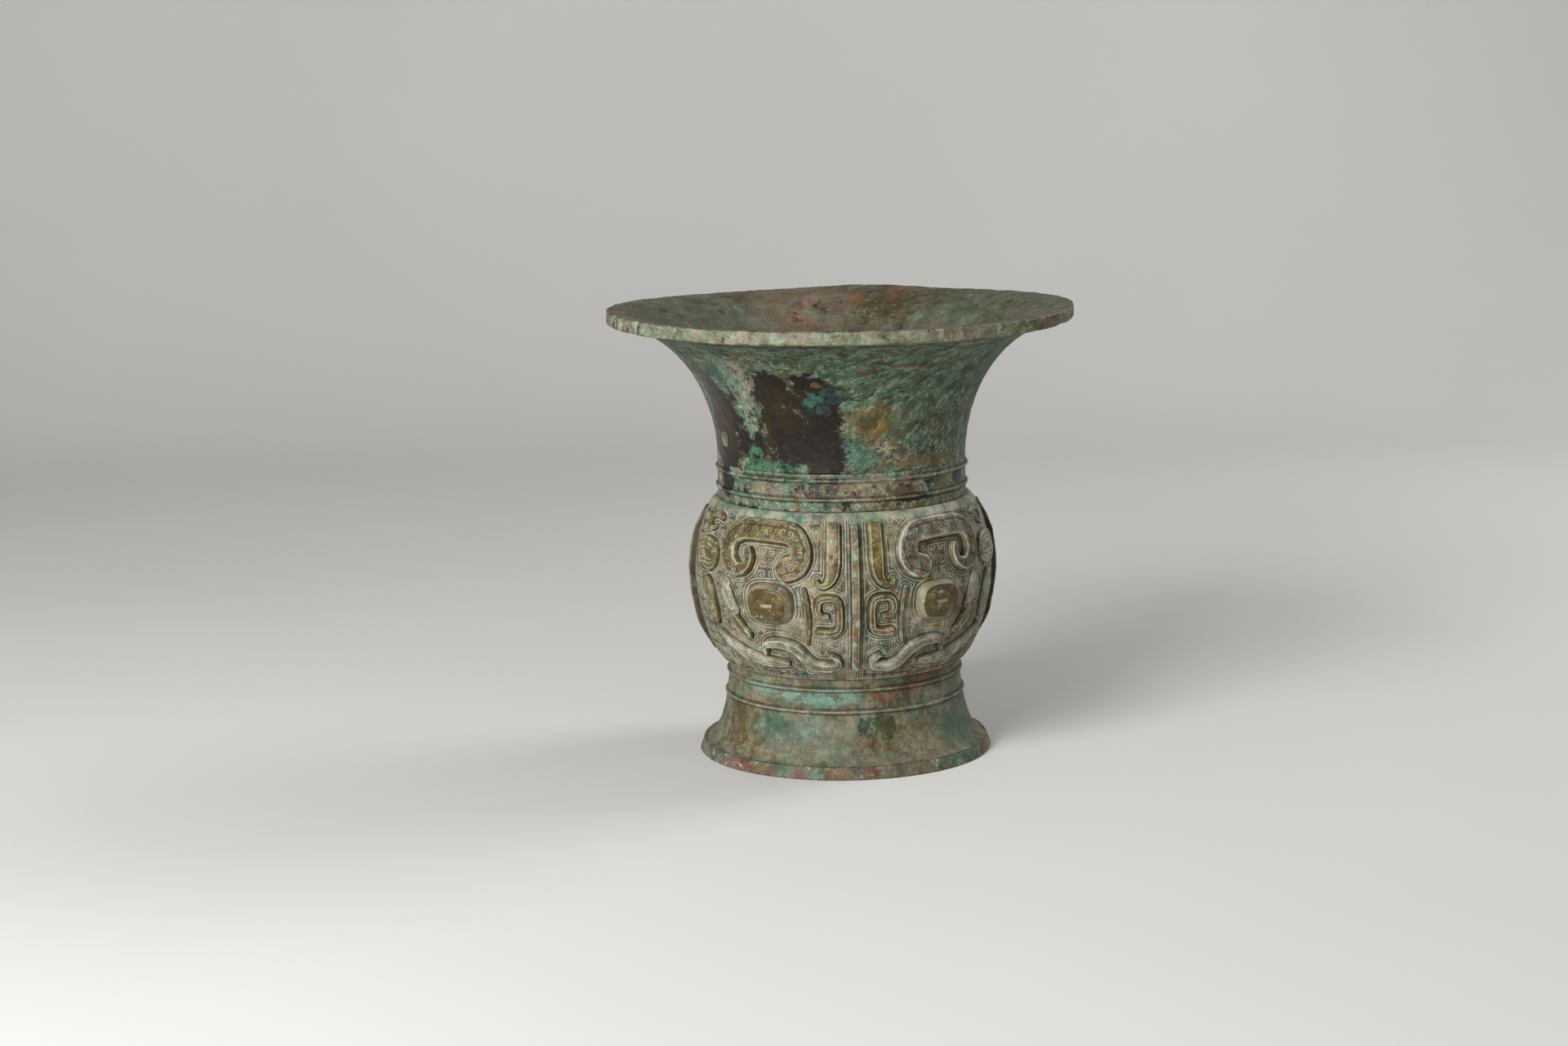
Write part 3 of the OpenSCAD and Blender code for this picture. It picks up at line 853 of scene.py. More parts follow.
# Thick lip: pale powdery verdigris over worn, grainy metal
LIP = Finish(
    "bronze_lip_pale_verdigris_and_earth",
    VERDIGRIS.toned("#535742", "#767a61", roughness=0.7),
    (
        EARTH.toned("#6e6351", "#938873").spread(9, 0.3, 21, soft=0.9, strength=0.8),
        VERDIGRIS.toned("#6b7964", "#929c85").spread(8, 0.26, 22, soft=0.8, strength=0.85),
        MALACHITE.toned("#3f513f", "#60715a").spread(9, 0.2, 23, strength=0.8),
        OLIVE.toned("#453c26", "#6b6143").spread(8, 0.14, 24, strength=0.85).also_at(
            Blot(62, 238, 40, 8, depth=30), Blot(-105, 238, 40, 8, depth=30), ragged=4),
        CUPRITE.spread(5, 0.05, 25, strength=0.7).also_at(Blot(55, 236, 8, 4)),
        DARK_OXIDE.spread(7, 0.05, 26, roughness=0.5, strength=0.8),
    ),
)
# Collar and its cords: gritty pinkish earth with green islands and bare brown metal
COLLAR = Finish(
    "bronze_collar_pink_earth_and_malachite",
    EARTH.toned("#574b36", "#7c6f57", roughness=0.75),
    (
        EARTH.toned("#72634f", "#9c8c77").spread(2.6, 0.36, 31, soft=0.5, strength=0.9),
        MALACHITE.spread(12, 0.36, 32, soft=0.7).also_at(
            Blot(-62, 150, 14, 9), Blot(-26, 143, 26, 3), fill=0.8, ragged=5),
        OLIVE.toned("#3f3319", "#6a5c35").spread(12, 0.18, 33, roughness=0.45),
        VERDIGRIS.spread(2.6, 0.16, 34, soft=0.5),
        TEAL.spread(5, 0.1, 35),
        DARK_OXIDE.spread(8, 0.1, 36, roughness=0.36).also_at(
            Blot(-70, 152, 8, 8), Blot(28, 146, 12, 2.5), Blot(62, 152, 6, 5)),
        DARK_OXIDE.toned("#2a241c", "#474035").only_at(
            Blot(-14, 151, 8, 7), fill=0.75, ragged=6, roughness=0.24),
        OLIVE.toned("#3f2f17", "#67542d").only_at(
            Blot(24, 150, 9, 5), Blot(46, 151, 6, 5), strength=0.85, fill=0.8),
        EARTH.toned("#6f604c", "#9a8b76").only_at(Blot(-43, 150, 12, 5), Blot(2, 149, 9, 5), fill=0.36),
        EMERALD.only_at(Blot(-45, 157, 18, 2.5), Blot(170, 150, 12, 4), strength=0.8),
        # On the collar these two stains are painted shade along the cords' creases and a painted highlight on
        # their crests
        replace(RECESS_EARTH_AND_SHADE, cover=0.7, strength=0.55),
        replace(PALE_WEAR_AND_HIGHLIGHT, strength=0.3),
    ),
)
# Carved ground: pale earth on the lines, dark in the grooves, which makes the spirals readable
GROUND = Finish(
    "bronze_carved_ground_earth_in_fine_spirals",
    EARTH.toned("#5f5945", "#8d866f", roughness=0.72),
    (
        OLIVE.toned("#4f4426", "#786b43").spread(20, 0.34, 41, roughness=0.5, strength=0.8).also_at(
            Blot(-60, 88, 14, 16), Blot(-80, 116, 14, 18), Blot(30, 76, 12, 10), Blot(-40, 78, 16, 6),
            ragged=4),
        EARTH.toned("#776a58", "#a0927d").spread(14, 0.26, 41.5, soft=1, strength=0.8).also_at(
            Blot(-14, 96, 12, 26), Blot(-34, 114, 12, 6), ragged=4),
        VERDIGRIS.spread(16, 0.24, 42, soft=1, strength=0.75).also_at(
            Blot(-64, 74, 12, 12), Blot(6, 84, 6, 22), ragged=4),
        # The plain shoulder under the collar
        VERDIGRIS.toned("#40574b", "#677d6c").only_at(
            Blot(0, 140, ALL_ROUND, 4.6, depth=ALL_ROUND), soft=1.5, fill=0.9, strength=0.9, ragged=4),
        TEAL.spread(6, 0.1, 43, strength=0.8).also_at(
            Blot(-28, 137, 16, 3), Blot(0, 137, 12, 2.5), Blot(-10, 108, 4, 4), Blot(40, 137, 12, 2)),
        CUPRITE.spread(6, 0.06, 44, strength=0.75).also_at(
            Blot(-37, 53, 8, 2), Blot(38, 53, 12, 2), fill=0.6),
        EARTH.spread(3, 0.18, 45),
        replace(RECESS_EARTH_AND_SHADE, seed=46, strength=0.72),
        TEAL.toned("#4c7065", "#86a596").spread(9, 0.13, 47, where=Where.HOLLOWS, strength=0.6),
        PALE_WEAR_AND_HIGHLIGHT.toned("#958d76", "#bdb6a1", strength=0.5, seed=48),
    ),
    grit=0.04,
)
# Relief polished by handling: a warm olive sheen with pale edges, with painted shade at the bands' feet and a
# painted highlight on a body bar
RELIEF_OLIVE = Finish(
    "bronze_relief_olive_polish",
    OLIVE.toned("#3c3119", "#635731", roughness=0.4, metallic=0.15),
    (
        OLIVE.toned("#5d5526", "#827a40").spread(9, 0.2, 51, soft=1).also_at(
            Blot(-38, 130, 18, 4), Blot(-52, 120, 4, 9), Blot(-19, 121, 4, 8), Blot(8, 122, 5, 16),
            ragged=6, fill=0.5),
        DARK_OXIDE.toned("#332714", "#534227").spread(
            10, 0.24, 52, soft=0.9, roughness=0.4, metallic=0.1),
        # Pale earth; the blot at -9 degrees and 122 mm on a body bar is a painted highlight, where the strip
        # lamp's reflection falls
        EARTH.toned("#69593f", "#938266").spread(8, 0.13, 53, crust=0.03, soft=0.9, roughness=0.6).also_at(
            Blot(-24, 111, 7, 7), Blot(-9, 122, 5, 14), Blot(-49, 110, 5, 5), ragged=5, fill=0.7),
        VERDIGRIS.spread(6, 0.1, 54, strength=0.85),
        CUPRITE.spread(5, 0.07, 55, strength=0.7),
        replace(RECESS_EARTH_AND_SHADE, seed=56),
        replace(PALE_WEAR_AND_HIGHLIGHT, cover=0.7, seed=57, strength=0.6),
    ),
    grit=0.03,
)
# Relief with a thin grey green skin: a cooler, duller sheen with pale edges
RELIEF_GREY = Finish(
    "bronze_relief_grey_green_polish",
    EARTH.toned("#494434", "#727059", roughness=0.48, metallic=0.1),
    (
        VERDIGRIS.toned("#687261", "#9aa08d").spread(9, 0.42, 61, roughness=0.6, crust=0.03, soft=0.9),
        OLIVE.toned("#4b4124", "#756a43").spread(12, 0.22, 62, soft=0.9, strength=0.85),
        EARTH.toned("#635646", "#887a68").spread(6, 0.2, 63, crust=0.03, roughness=0.65, soft=0.7),
        CUPRITE.spread(5, 0.06, 64, strength=0.7),
        RECESS_EARTH_AND_SHADE.toned("#1a1812", "#35322a", seed=66),
        PALE_WEAR_AND_HIGHLIGHT.toned("#9c9b8b", "#c2c1b1", cover=0.75, seed=67, strength=0.75),
    ),
    grit=0.03,
)
# Eyes: brown polish on the panel, a pale dusty bevel round it
EYE = Finish(
    "bronze_eye_brown_polish",
    OLIVE.toned("#352911", "#574a26", roughness=0.36, metallic=0.15),
    (
        OLIVE.toned("#54471f", "#756838").spread(8, 0.22, 70, soft=0.9),
        CUPRITE.spread(4, 0.1, 73, strength=0.7),
        # The wide bevel and the slit, pale and dusty
        EARTH.toned("#77705a", "#a09a84").spread(
            16, 0.9, 71, soft=1.5, crust=0.03, roughness=0.6, where=Where.EDGES, strength=0.9),
        VERDIGRIS.spread(4, 0.1, 72, strength=0.8),
        replace(RECESS_EARTH_AND_SHADE, seed=74),
    ),
    grit=0.03,
)
# Flanges: dull brown metal with earth in the hatching
FLANGE = Finish(
    "bronze_flange_brown_and_earth",
    EARTH.toned("#4a4230", "#736a52", roughness=0.62, metallic=0.1),
    (
        OLIVE.spread(10, 0.28, 81, soft=0.9),
        EARTH.toned("#6b604b", "#918671").spread(6, 0.28, 82, soft=0.8),
        VERDIGRIS.spread(7, 0.16, 83, soft=0.8),
        CUPRITE.spread(6, 0.12, 84, strength=0.75),
        replace(RECESS_EARTH_AND_SHADE, seed=85, strength=0.75),
        replace(PALE_WEAR_AND_HIGHLIGHT, seed=86, strength=0.4),
    ),
)
# Flared foot: clouds of green and tan, matt, with a few brown and dark patches
FOOT = Finish(
    "bronze_foot_verdigris_and_tan_earth",
    MALACHITE.toned("#383f2d", "#575f4a", roughness=0.68),
    (
        MALACHITE.toned("#354b3c", "#576d5c").spread(24, 0.4, 91, soft=1.5, strength=0.8),
        EARTH.toned("#655944", "#8b7e66").spread(20, 0.34, 92, soft=1.4, strength=0.85).also_at(
            Blot(5, 18, 14, 7), Blot(34, 14, 18, 9), Blot(-26, 11, 20, 4), Blot(10, 36, 6, 7), ragged=5),
        EARTH.toned("#63563f", "#918169").spread(3, 0.2, 93, soft=0.7, strength=0.85),
        DARK_OXIDE.toned("#2b3122", "#414a34").spread(
            3.4, 0.14, 97, soft=0.8, roughness=0.6, metallic=0, strength=0.75),
        VERDIGRIS.toned("#546557", "#748473").spread(16, 0.12, 94, soft=1.2, strength=0.8).also_at(
            Blot(-15, 26, 14, 9), ragged=5, fill=0.6),
        OLIVE.toned("#3f331b", "#665832").spread(15, 0.14, 95, soft=1, roughness=0.5),
        MALACHITE.toned("#2c4736", "#4a6a53").only_at(
            Blot(-40, 24, 9, 8), Blot(61, 18, 18, 14), Blot(250, 24, 12, 10), soft=2, fill=0.85,
            strength=0.85, ragged=4),
        TEAL.toned("#4a7162", "#7b9d8b").only_at(
            Blot(-24, 40.5, 22, 3.6), Blot(-45, 44, 10, 4), Blot(-6, 40.5, 9, 3.6), Blot(150, 38, 20, 5),
            soft=1, strength=0.85, ragged=5, fill=0.8),
        OLIVE.toned("#43321b", "#6b532f").only_at(
            Blot(-62, 20, 10, 13), Blot(20, 41, 12, 4), Blot(38, 47, 18, 3), Blot(100, 20, 12, 9),
            roughness=0.5, soft=1.2, fill=0.7, strength=0.85, ragged=5),
        DARK_OXIDE.toned("#242f1d", "#434a2a").only_at(
            Blot(13, 25, 8, 6.5), Blot(200, 22, 10, 7), Blot(120, 30, 8, 6), roughness=0.42, soft=1,
            fill=0.85, strength=0.9, ragged=4),
        AZURITE.toned("#1d2f29", "#3f564a").only_at(Blot(21, 36.5, 4, 2.5), Blot(6, 25, 4, 4), fill=0.6),
        CUPRITE.spread(5, 0.05, 96, strength=0.6).also_at(
            Blot(-37, 48, 9, 2), Blot(16, 40, 6, 3), Blot(30, 44, 8, 2)),
        # On the foot these two stains are painted shade along the cords' creases and a painted highlight on
        # their crests
        replace(RECESS_EARTH_AND_SHADE, cover=0.7, strength=0.55),
        replace(PALE_WEAR_AND_HIGHLIGHT, strength=0.3),
    ),
)
# Band on the ground: pinkish earth with red and green specks
FOOT_BAND = Finish(
    "bronze_foot_band_pink_earth",
    EARTH.toned("#483d2c", "#6a5b46", roughness=0.75),
    (
        EARTH.toned("#5a4c36", "#80705a").spread(6, 0.36, 101, soft=0.8),
        MALACHITE.spread(12, 0.28, 102),
        OLIVE.toned("#3e2f1a", "#665334").spread(9, 0.2, 103, roughness=0.55),
        VERDIGRIS.spread(5, 0.1, 104),
        CUPRITE.spread(6, 0.1, 105, strength=0.85).also_at(
            Blot(-54, 3, 9, 3), Blot(2, 3, 9, 2.5), fill=0.6),
        EMERALD.only_at(Blot(42, 4, 18, 4), strength=0.75),
    ),
)
# Chaplets: ochre brown spacers, flecked with green
CHAPLET = Finish(
    "bronze_chaplet_ochre",
    OCHRE.toned("#3f3a26", "#665c40", roughness=0.6),
    (
        MALACHITE.spread(6, 0.45, 111, soft=0.8),
        EARTH.spread(4, 0.25, 112),
    ),
)


def wrapped_grids(
    name: str, columns: int, rows: int, copies: int,
) -> tuple[bpy.types.Mesh, np.ndarray, np.ndarray, np.ndarray]:
    """A mesh of flat grids, ready to be wrapped into closed forms.

    Args:
        name: the mesh's name.
        columns: segments along the form.
        rows: segments round the form.
        copies: number of grids.

    Returns:
        The mesh, and for each vertex its column share, its row number and its copy's number.
    """
    bm = bmesh.new()
    for _ in range(copies):
        bmesh.ops.create_grid(bm, x_segments=columns, y_segments=rows, size=0.5)
    mesh = new_mesh(bm, name)
    flat = vectors(mesh.vertices, "co")
    copy = np.arange(len(flat)) // (len(flat) // copies)
    return mesh, flat[:, 0] + 0.5, np.rint((flat[:, 1] + 0.5) * rows), copy


def place(mesh: bpy.types.Mesh, points: np.ndarray, **notes: np.ndarray) -> None:
    """Moves a mesh's vertices to points in millimetres and keeps notes on them, each from 0 to 1.

    Args:
        mesh: the mesh.
        points: one row a vertex.
        **notes: hollow says how deep a point lies in the carving, and also holds painted shade along creases
                 and at the feet of raised forms; rubbed says how much its edge is worn, and also holds a
                 painted highlight along a cord's crest.
    """
    mesh.vertices.foreach_set("co", (points * MM).astype(np.float32).ravel())
    for name, values in notes.items():
        layer = mesh.attributes.new(name, "FLOAT", "POINT")
        layer.data.foreach_set("value", np.clip(values, 0, 1).astype(np.float32))


def across(row: np.ndarray, rows: int, crowding: float) -> np.ndarray:
    """Where a wrapped grid's rows lie across a form.

    Args:
        row: row number of each vertex.
        rows: segments round the form.
        crowding: how much closer the rows lie at the form's edges.

    Returns:
        From -1 at one edge to 1 at the other, with the last row back at the first.
    """
    t = np.where(row == rows, -1, 2 * row / (rows - 1) - 1)
    return (1 - crowding) * t + crowding * np.sin(t * math.pi / 2)


def weld(mesh: bpy.types.Mesh, fill: bool = False) -> None:
    """Closes a wrapped mesh: merges its seams and poles and turns its faces outwards.

    Args:
        mesh: the mesh, with its vertices in place.
        fill: whether open ends are filled.
    """
    seam, sliver = 0.004 * MM, 0.001 * MM
    bm = bmesh.new()
    bm.from_mesh(mesh)
    bmesh.ops.remove_doubles(bm, verts=bm.verts, dist=seam)
    bmesh.ops.dissolve_degenerate(bm, edges=bm.edges, dist=sliver)
    if fill:
        bmesh.ops.holes_fill(bm, edges=[e for e in bm.edges if e.is_boundary], sides=0)
    bmesh.ops.recalc_face_normals(bm, faces=bm.faces)
    bm.to_mesh(mesh)
    bm.free()


@dataclass
class Piece:
    """A finished piece of the vessel: its name, finish, record slot and the CAD nodes that it stands for."""

    name: str
    finish: Finish
    slot: str
    nodes: tuple[str, ...]

    def dress(self, mesh: bpy.types.Mesh, inside_tilt: Optional[float] = None) -> bpy.types.Object:
        """Makes the object, gives it its finish and ties it to the frame.

        Args:
            mesh: the piece's mesh, in place.
            inside_tilt: if given, faces that look at the axis, or up by this share, get the bore's finish.

        Returns:
            The object.
        """
        piece = add_object(self.name, mesh)
        mesh.materials.append(self.finish.material())
        mesh.polygons.foreach_set("use_smooth", [True] * len(mesh.polygons))
        if inside_tilt is not None:
            mesh.materials.append(INSIDE.material())
            normals = vectors(mesh.polygons, "normal")
            centres = vectors(mesh.polygons, "center")
            radius = np.maximum(np.hypot(centres[:, 0], centres[:, 1]), 1e-9)
            outward = (normals[:, :2] * centres[:, :2]).sum(axis=1) / radius
            inside = outward - inside_tilt * normals[:, 2] < 0
            mesh.polygons.foreach_set("material_index", inside.astype(np.int32))
        mesh.update()
        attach(piece, BODY)
        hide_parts(*self.nodes)
        log.info("%s: %d faces, for %s", self.name, len(mesh.polygons), ", ".join(self.nodes))
        return piece


@dataclass
class TurnedPiece:
    """A piece of the wall that a lathe could have made, with the swells of a casting."""

    piece: Piece
    outline: Profile
    spacing: float = 1.2
    steps: int = 300
    swell_size: float = 26.0
    swell_rise: float = 0.22
    inside_tilt: Optional[float] = None
    reshape: Optional[Callable[[np.ndarray], np.ndarray]] = None
    # Heights of painted shade lines along the cords, the height of a painted highlight along a cord's crest,
    # and their width
    creases: tuple[float, ...] = ()
    crest: Optional[float] = None
    crease_w: float = 0.9

    def build(self) -> bpy.types.Object:
        """Spins the outline into a closed ring and shapes it.

        Returns:
            The dressed object.
        """
        bm = bmesh.new()
        verts = [bm.verts.new((r * MM, 0, z * MM)) for r, z in evenly(self.outline, self.spacing)]
        edges = [bm.edges.new(pair) for pair in zip(verts, verts[1:] + verts[:1])]
        bmesh.ops.spin(
            bm, geom=verts + edges, cent=(0, 0, 0), axis=(0, 0, 1), dvec=(0, 0, 0),
            angle=2 * math.pi, steps=self.steps, use_merge=True, use_duplicate=False,
        )
        mesh = new_mesh(bm, self.piece.name)
        weld(mesh)
        points = self.shaped(mesh)
        z = points[:, 2]
        # Painted shade along the creases where a cord meets the wall, and a painted highlight along a cord's
        # crest
        hollow = sum((bell(z, level, self.crease_w) for level in self.creases), 0 * z)
        rubbed = 0 * z if self.crest is None else bell(z, self.crest, self.crease_w)
        place(mesh, points, hollow=hollow, rubbed=rubbed)
        return self.piece.dress(mesh, self.inside_tilt)

    def shaped(self, mesh: bpy.types.Mesh) -> np.ndarray:
        """The mesh's points in millimetres, pressed in a little where the casting is uneven.

        Args:
            mesh: the turned mesh.

        Returns:
            One row a vertex.
        """
        points = vectors(mesh.vertices, "co") / MM
        normals = vectors(mesh.vertices, "normal")
        swells = Swell(self.swell_size, 0.5, seed=3), Swell(self.swell_size / 5, 0.35, seed=4)
        depth = np.clip(0.5 + uneven(points, swells), 0, 1.6) * self.swell_rise
        off_ground = smooth(points[:, 2], 0.2, 1.5)
        points = points - normals * (depth * off_ground)[:, None]
        return self.reshape(points) if self.reshape else points


@dataclass(frozen=True)
class Cord:
    """A raised cord round the wall where its CAD node lies, sunk a little so that it grows out of it."""

    form: VesselForm
    node: str
    width: float = 2.4
    rise: float = 1.25
    sink: float = 0.8
    steps: int = 12

    @classmethod
    def pair(cls, form: VesselForm, zone: str) -> "list[Cord]":
        """The lower and the upper cord of the foot or the collar."""
        return [cls(form, f"{zone}_{level}_cord") for level in ("lower", "upper")]

    @property
    def level(self) -> float:
        """Height of the cord's middle."""
        low, high = node_box(self.node)
        return (low.z + high.z) / 2

    @property
    def creases(self) -> Point:
        """Heights of the two lines where the cord meets the wall."""
        return self.level - self.width / 2, self.level + self.width / 2

    def build(self, name: str, finish: Finish, slot: str) -> None:
        """Builds the cord with a half-round section.

        Args:
            name: the piece's name.
            finish: its finish.
            slot: its slot in the record.
        """
        z, half = self.level, self.width / 2
        below, above = (self.form.wall_at(crease) for crease in self.creases)
        lean = (above - below) / 2
        outline = [
            (below + lean * (1 + math.sin(a)) + self.rise * math.cos(a), z + half * math.sin(a))
            for a in on_arc(-math.pi / 2, math.pi / 2, self.steps)
        ]
        outline += [(above - self.sink, z + half), (below - self.sink, z - half)]
        # The cord gets painted shade at its feet and a painted highlight along its crest
        TurnedPiece(
            Piece(name, finish, slot, (self.node,)), outline, spacing=0.5,
            swell_size=14, swell_rise=0.25, creases=self.creases, crest=z, crease_w=0.6,
        ).build()


@dataclass
class Foot:
    """The flared hollow foot with its band and two raised cords."""

    form: VesselForm
    corner: float = 0.5
    overhang: float = 0.3

    def build(self) -> None:
        """Builds the foot's ring, its band and its cords."""
        form = self.form
        cords = Cord.pair(form, "foot")
        outside = between(form.foot_outside(), form.foot_band_h, form.foot_h, 1)
        inside = between(form.foot_inside(), form.foot_band_h, form.foot_h, 1)
        # The flare gets painted shade along both cords' edges
        TurnedPiece(
            Piece("foot_flare", FOOT, "foot_bronze", ("foot_ring",)), outside + inside[::-1],
            spacing=0.9, inside_tilt=0.0, creases=cords[0].creases + cords[1].creases,
        ).build()
        low = between(form.foot_inside(), form.foot_sole, form.foot_band_h, 1)
        top_r = form.foot_r - form.foot_splay + self.overhang
        band = [
            (form.foot_r - self.corner, 0), (form.foot_r, self.corner),
            (top_r, form.foot_band_h - self.corner), (top_r - self.corner, form.foot_band_h),
        ]
        TurnedPiece(
            Piece("foot_standing_band", FOOT_BAND, "foot_bronze", ("foot_band",)),
            band + low[::-1] + [(low[0][0], 0)], spacing=0.8, swell_rise=0.25, inside_tilt=0.0,
        ).build()
        for cord in cords:
            cord.build(f"{cord.node}_cast", FOOT, "foot_bronze")


@dataclass
class Floor:
    """The floor between belly and foot, with its square chaplets."""

    form: VesselForm
    chaplets: int = 4
    chaplet_w: float = 9.0
    chaplet_r: float = 34.0
    chaplet_raise: float = 0.01
    chaplet_edge: float = 0.4

    def build(self) -> None:
        """Builds the floor's disc and the chaplets' plates."""
        form = self.form
        low, top = form.foot_h, form.foot_h + form.floor_t
        disc = [(0.0, low), (form.floor_r, low), (form.floor_r, top), (0.0, top)]
        TurnedPiece(
            Piece("floor_disc", INSIDE, "inner_bronze", ("vessel_floor",)), disc,
            spacing=2.0, steps=160, swell_rise=0.3,
        ).build()
        bm = bmesh.new()
        wide, high = self.chaplet_w * MM, (form.floor_t + 2 * self.chaplet_raise) * MM
        middle = Matrix.Translation((self.chaplet_r * MM, 0, (low + top) / 2 * MM))
        size = Matrix.Diagonal((wide, wide, high, 1))
        for i in range(self.chaplets):
            turn = Matrix.Rotation(2 * math.pi * (i + 0.5) / self.chaplets, 4, "Z")
            bmesh.ops.create_cube(bm, size=1, matrix=turn @ middle @ size)
        bmesh.ops.bevel(
            bm, geom=list(bm.edges), offset=self.chaplet_edge * MM, affect="EDGES", segments=2,
            profile=0.5, material=-1,
        )
        mesh = new_mesh(bm, "floor_spacers")
        Piece("floor_spacers", CHAPLET, "chaplet_bronze", ("floor_chaplets",)).dress(mesh)


@dataclass
class Neck:
    """Collar, raised cords, trumpet neck with its chaplets, and the thick lip."""

    form: VesselForm
    rim_peak: float = 169.0
    peak_w: float = 26.0
    rim_dip: float = 1.7
    dip_from: float = 20.0
    chip: float = 0.9
    pits: Swells = (Swell(7.0, 1.0, seed=8), Swell(2.6, 0.6, seed=9))
    pit_from: float = 0.75
    pit_most: float = 1.2
    worn_w: float = 4.0
    lip_steps: int = 5
    chaplets: int = 4
    chaplet_w: float = 9.0
    chaplet_turn: float = 20.0
    chaplet_squareness: float = 5.0
    chaplet_sink: float = 1.2
    chaplet_raise: float = 0.12

    def build(self) -> None:
        """Builds the pieces from the belly up to the rim."""
        form = self.form
        cords = Cord.pair(form, "collar")
        inside = form.neck_inside()
        collar_in = [(form.bore_r, form.collar_z), *between(inside, inside[0][1], form.waist_z, 1)]
        # The collar wall gets painted shade along both cords' edges
        TurnedPiece(
            Piece("collar_wall", COLLAR, "collar_bronze", ("neck_collar",)),
            [(form.neck_r, form.collar_z), (form.neck_r, form.waist_z)] + collar_in[::-1],
            spacing=0.8, inside_tilt=0.0, creases=cords[0].creases + cords[1].creases,
        ).build()
        for cord in cords:
            cord.build(f"{cord.node}_cast", COLLAR, "collar_bronze")
        lip_r = form.rim_r - form.lip_w
        trumpet = between(form.neck_outside(), form.neck_r, lip_r, 0)
        bore = between(inside, float(radius_on(inside, form.waist_z)), lip_r, 0)
        TurnedPiece(
            Piece("trumpet_wall", NECK, "neck_bronze", ("trumpet_neck",)), trumpet + bore[::-1],
            spacing=1.3, steps=380, inside_tilt=1.0, reshape=self.rim_warp,
        ).build()
        self.lip(lip_r)
        self.spacers()

    def lip(self, lip_r: float) -> None:
        """Builds the lip with its rounded, slightly chipped edge.

        Args:
            lip_r: radius at which the lip begins.
        """
        form, r = self.form, self.form.lip_round
        edge = form.rim_r - r
        under = between(form.neck_outside(), lip_r, edge, 0)
        over = between(form.neck_inside(), lip_r, edge, 0)
        arc = on_arc(0, math.pi / 2, self.lip_steps)
        low_corner = [(edge + r * math.sin(a), form.lip_z + r - r * math.cos(a)) for a in arc]
        top_corner = [(edge + r * math.cos(a), form.rim_z - r + r * math.sin(a)) for a in arc]
        TurnedPiece(
            Piece("rim_lip", LIP, "lip_bronze", ("mouth_lip",)),
            under[:-1] + low_corner + top_corner + over[:-1][::-1], spacing=0.8, steps=520,
            swell_size=18, swell_rise=0.3, inside_tilt=1.1, reshape=self.chipped,
        ).build()

    def rim_warp(self, points: np.ndarray) -> np.ndarray:
        """Lets the mouth dip a little in front and behind, except where its edge peaks.

        Args:
            points: the neck's or the lip's points.

        Returns:
            The points, moved.
        """
        angle = np.degrees(np.arctan2(points[:, 0], -points[:, 1]))
        off = np.abs((angle - self.rim_peak + 180) % 360 - 180)
        dip = self.rim_dip * smooth(off, 0, self.peak_w) * (1 - np.sin(np.radians(angle)) ** 4)
        moved = points.copy()
        low, high = self.form.waist_z + self.dip_from, self.form.rim_z - self.worn_w
        moved[:, 2] -= dip * smooth(points[:, 2], low, high)
        return moved

    def chipped(self, points: np.ndarray) -> np.ndarray:
        """Wears the lip's edge, then warps it with the neck.

        Args:
            points: the lip's points.

        Returns:
            The points, moved.
        """
        radius = np.hypot(points[:, 0], points[:, 1])
        edge = smooth(radius, self.form.rim_r - self.worn_w, self.form.rim_r)
        bite = np.clip(uneven(points, self.pits) - self.pit_from, 0, self.pit_most) * self.chip
        moved = points.copy()
        moved[:, :2] *= (1 - bite * edge / radius)[:, None]
        return self.rim_warp(moved)

    def spacers(self) -> None:
        """Builds the chaplets' faces, flush in the neck's outer wall."""
        low, high = node_box("neck_chaplets")
        columns, rows, count = 48, 8, self.chaplets
        mesh, around, row, copy = wrapped_grids("neck_spacers", columns, rows, count)
        share = np.where(row == 0, 0, np.where(row == rows, 0, 1.0 - (row - 1) / (rows - 1)))
        depth = np.where(row == 0, self.chaplet_sink, self.chaplet_sink / 2)
        x, z = rounded_square(around * 2 * math.pi, self.chaplet_squareness)
        x = share * self.chaplet_w / 2 * x
        z = (low.z + high.z) / 2 + share * self.chaplet_w / 2 * z
        r = radius_on(self.form.neck_outside(), z) + np.where(row < 2, -depth, self.chaplet_raise)
        points = round_axis(r, np.radians(self.chaplet_turn + 360.0 / count * copy) + x / r, z)
        place(mesh, self.rim_warp(points))
        weld(mesh)
        Piece("neck_spacers", CHAPLET, "chaplet_bronze", ("neck_chaplets",)).dress(mesh)


class MaskSide(Enum):
    """The two masks and where each faces, in degrees from -Y towards +X."""

    RIGHT = ("right", 90.0)
    LEFT = ("left", -90.0)

    @property
    def label(self) -> str:
        """The mask's name in the frame's nodes."""
        return self.value[0]

    @property
    def turn(self) -> float:
        """Where the mask faces."""
        return self.value[1]


class Carving(Enum):
    """What is cut into the top of a relief band."""

    LINES = 0
    SCROLLS = 1


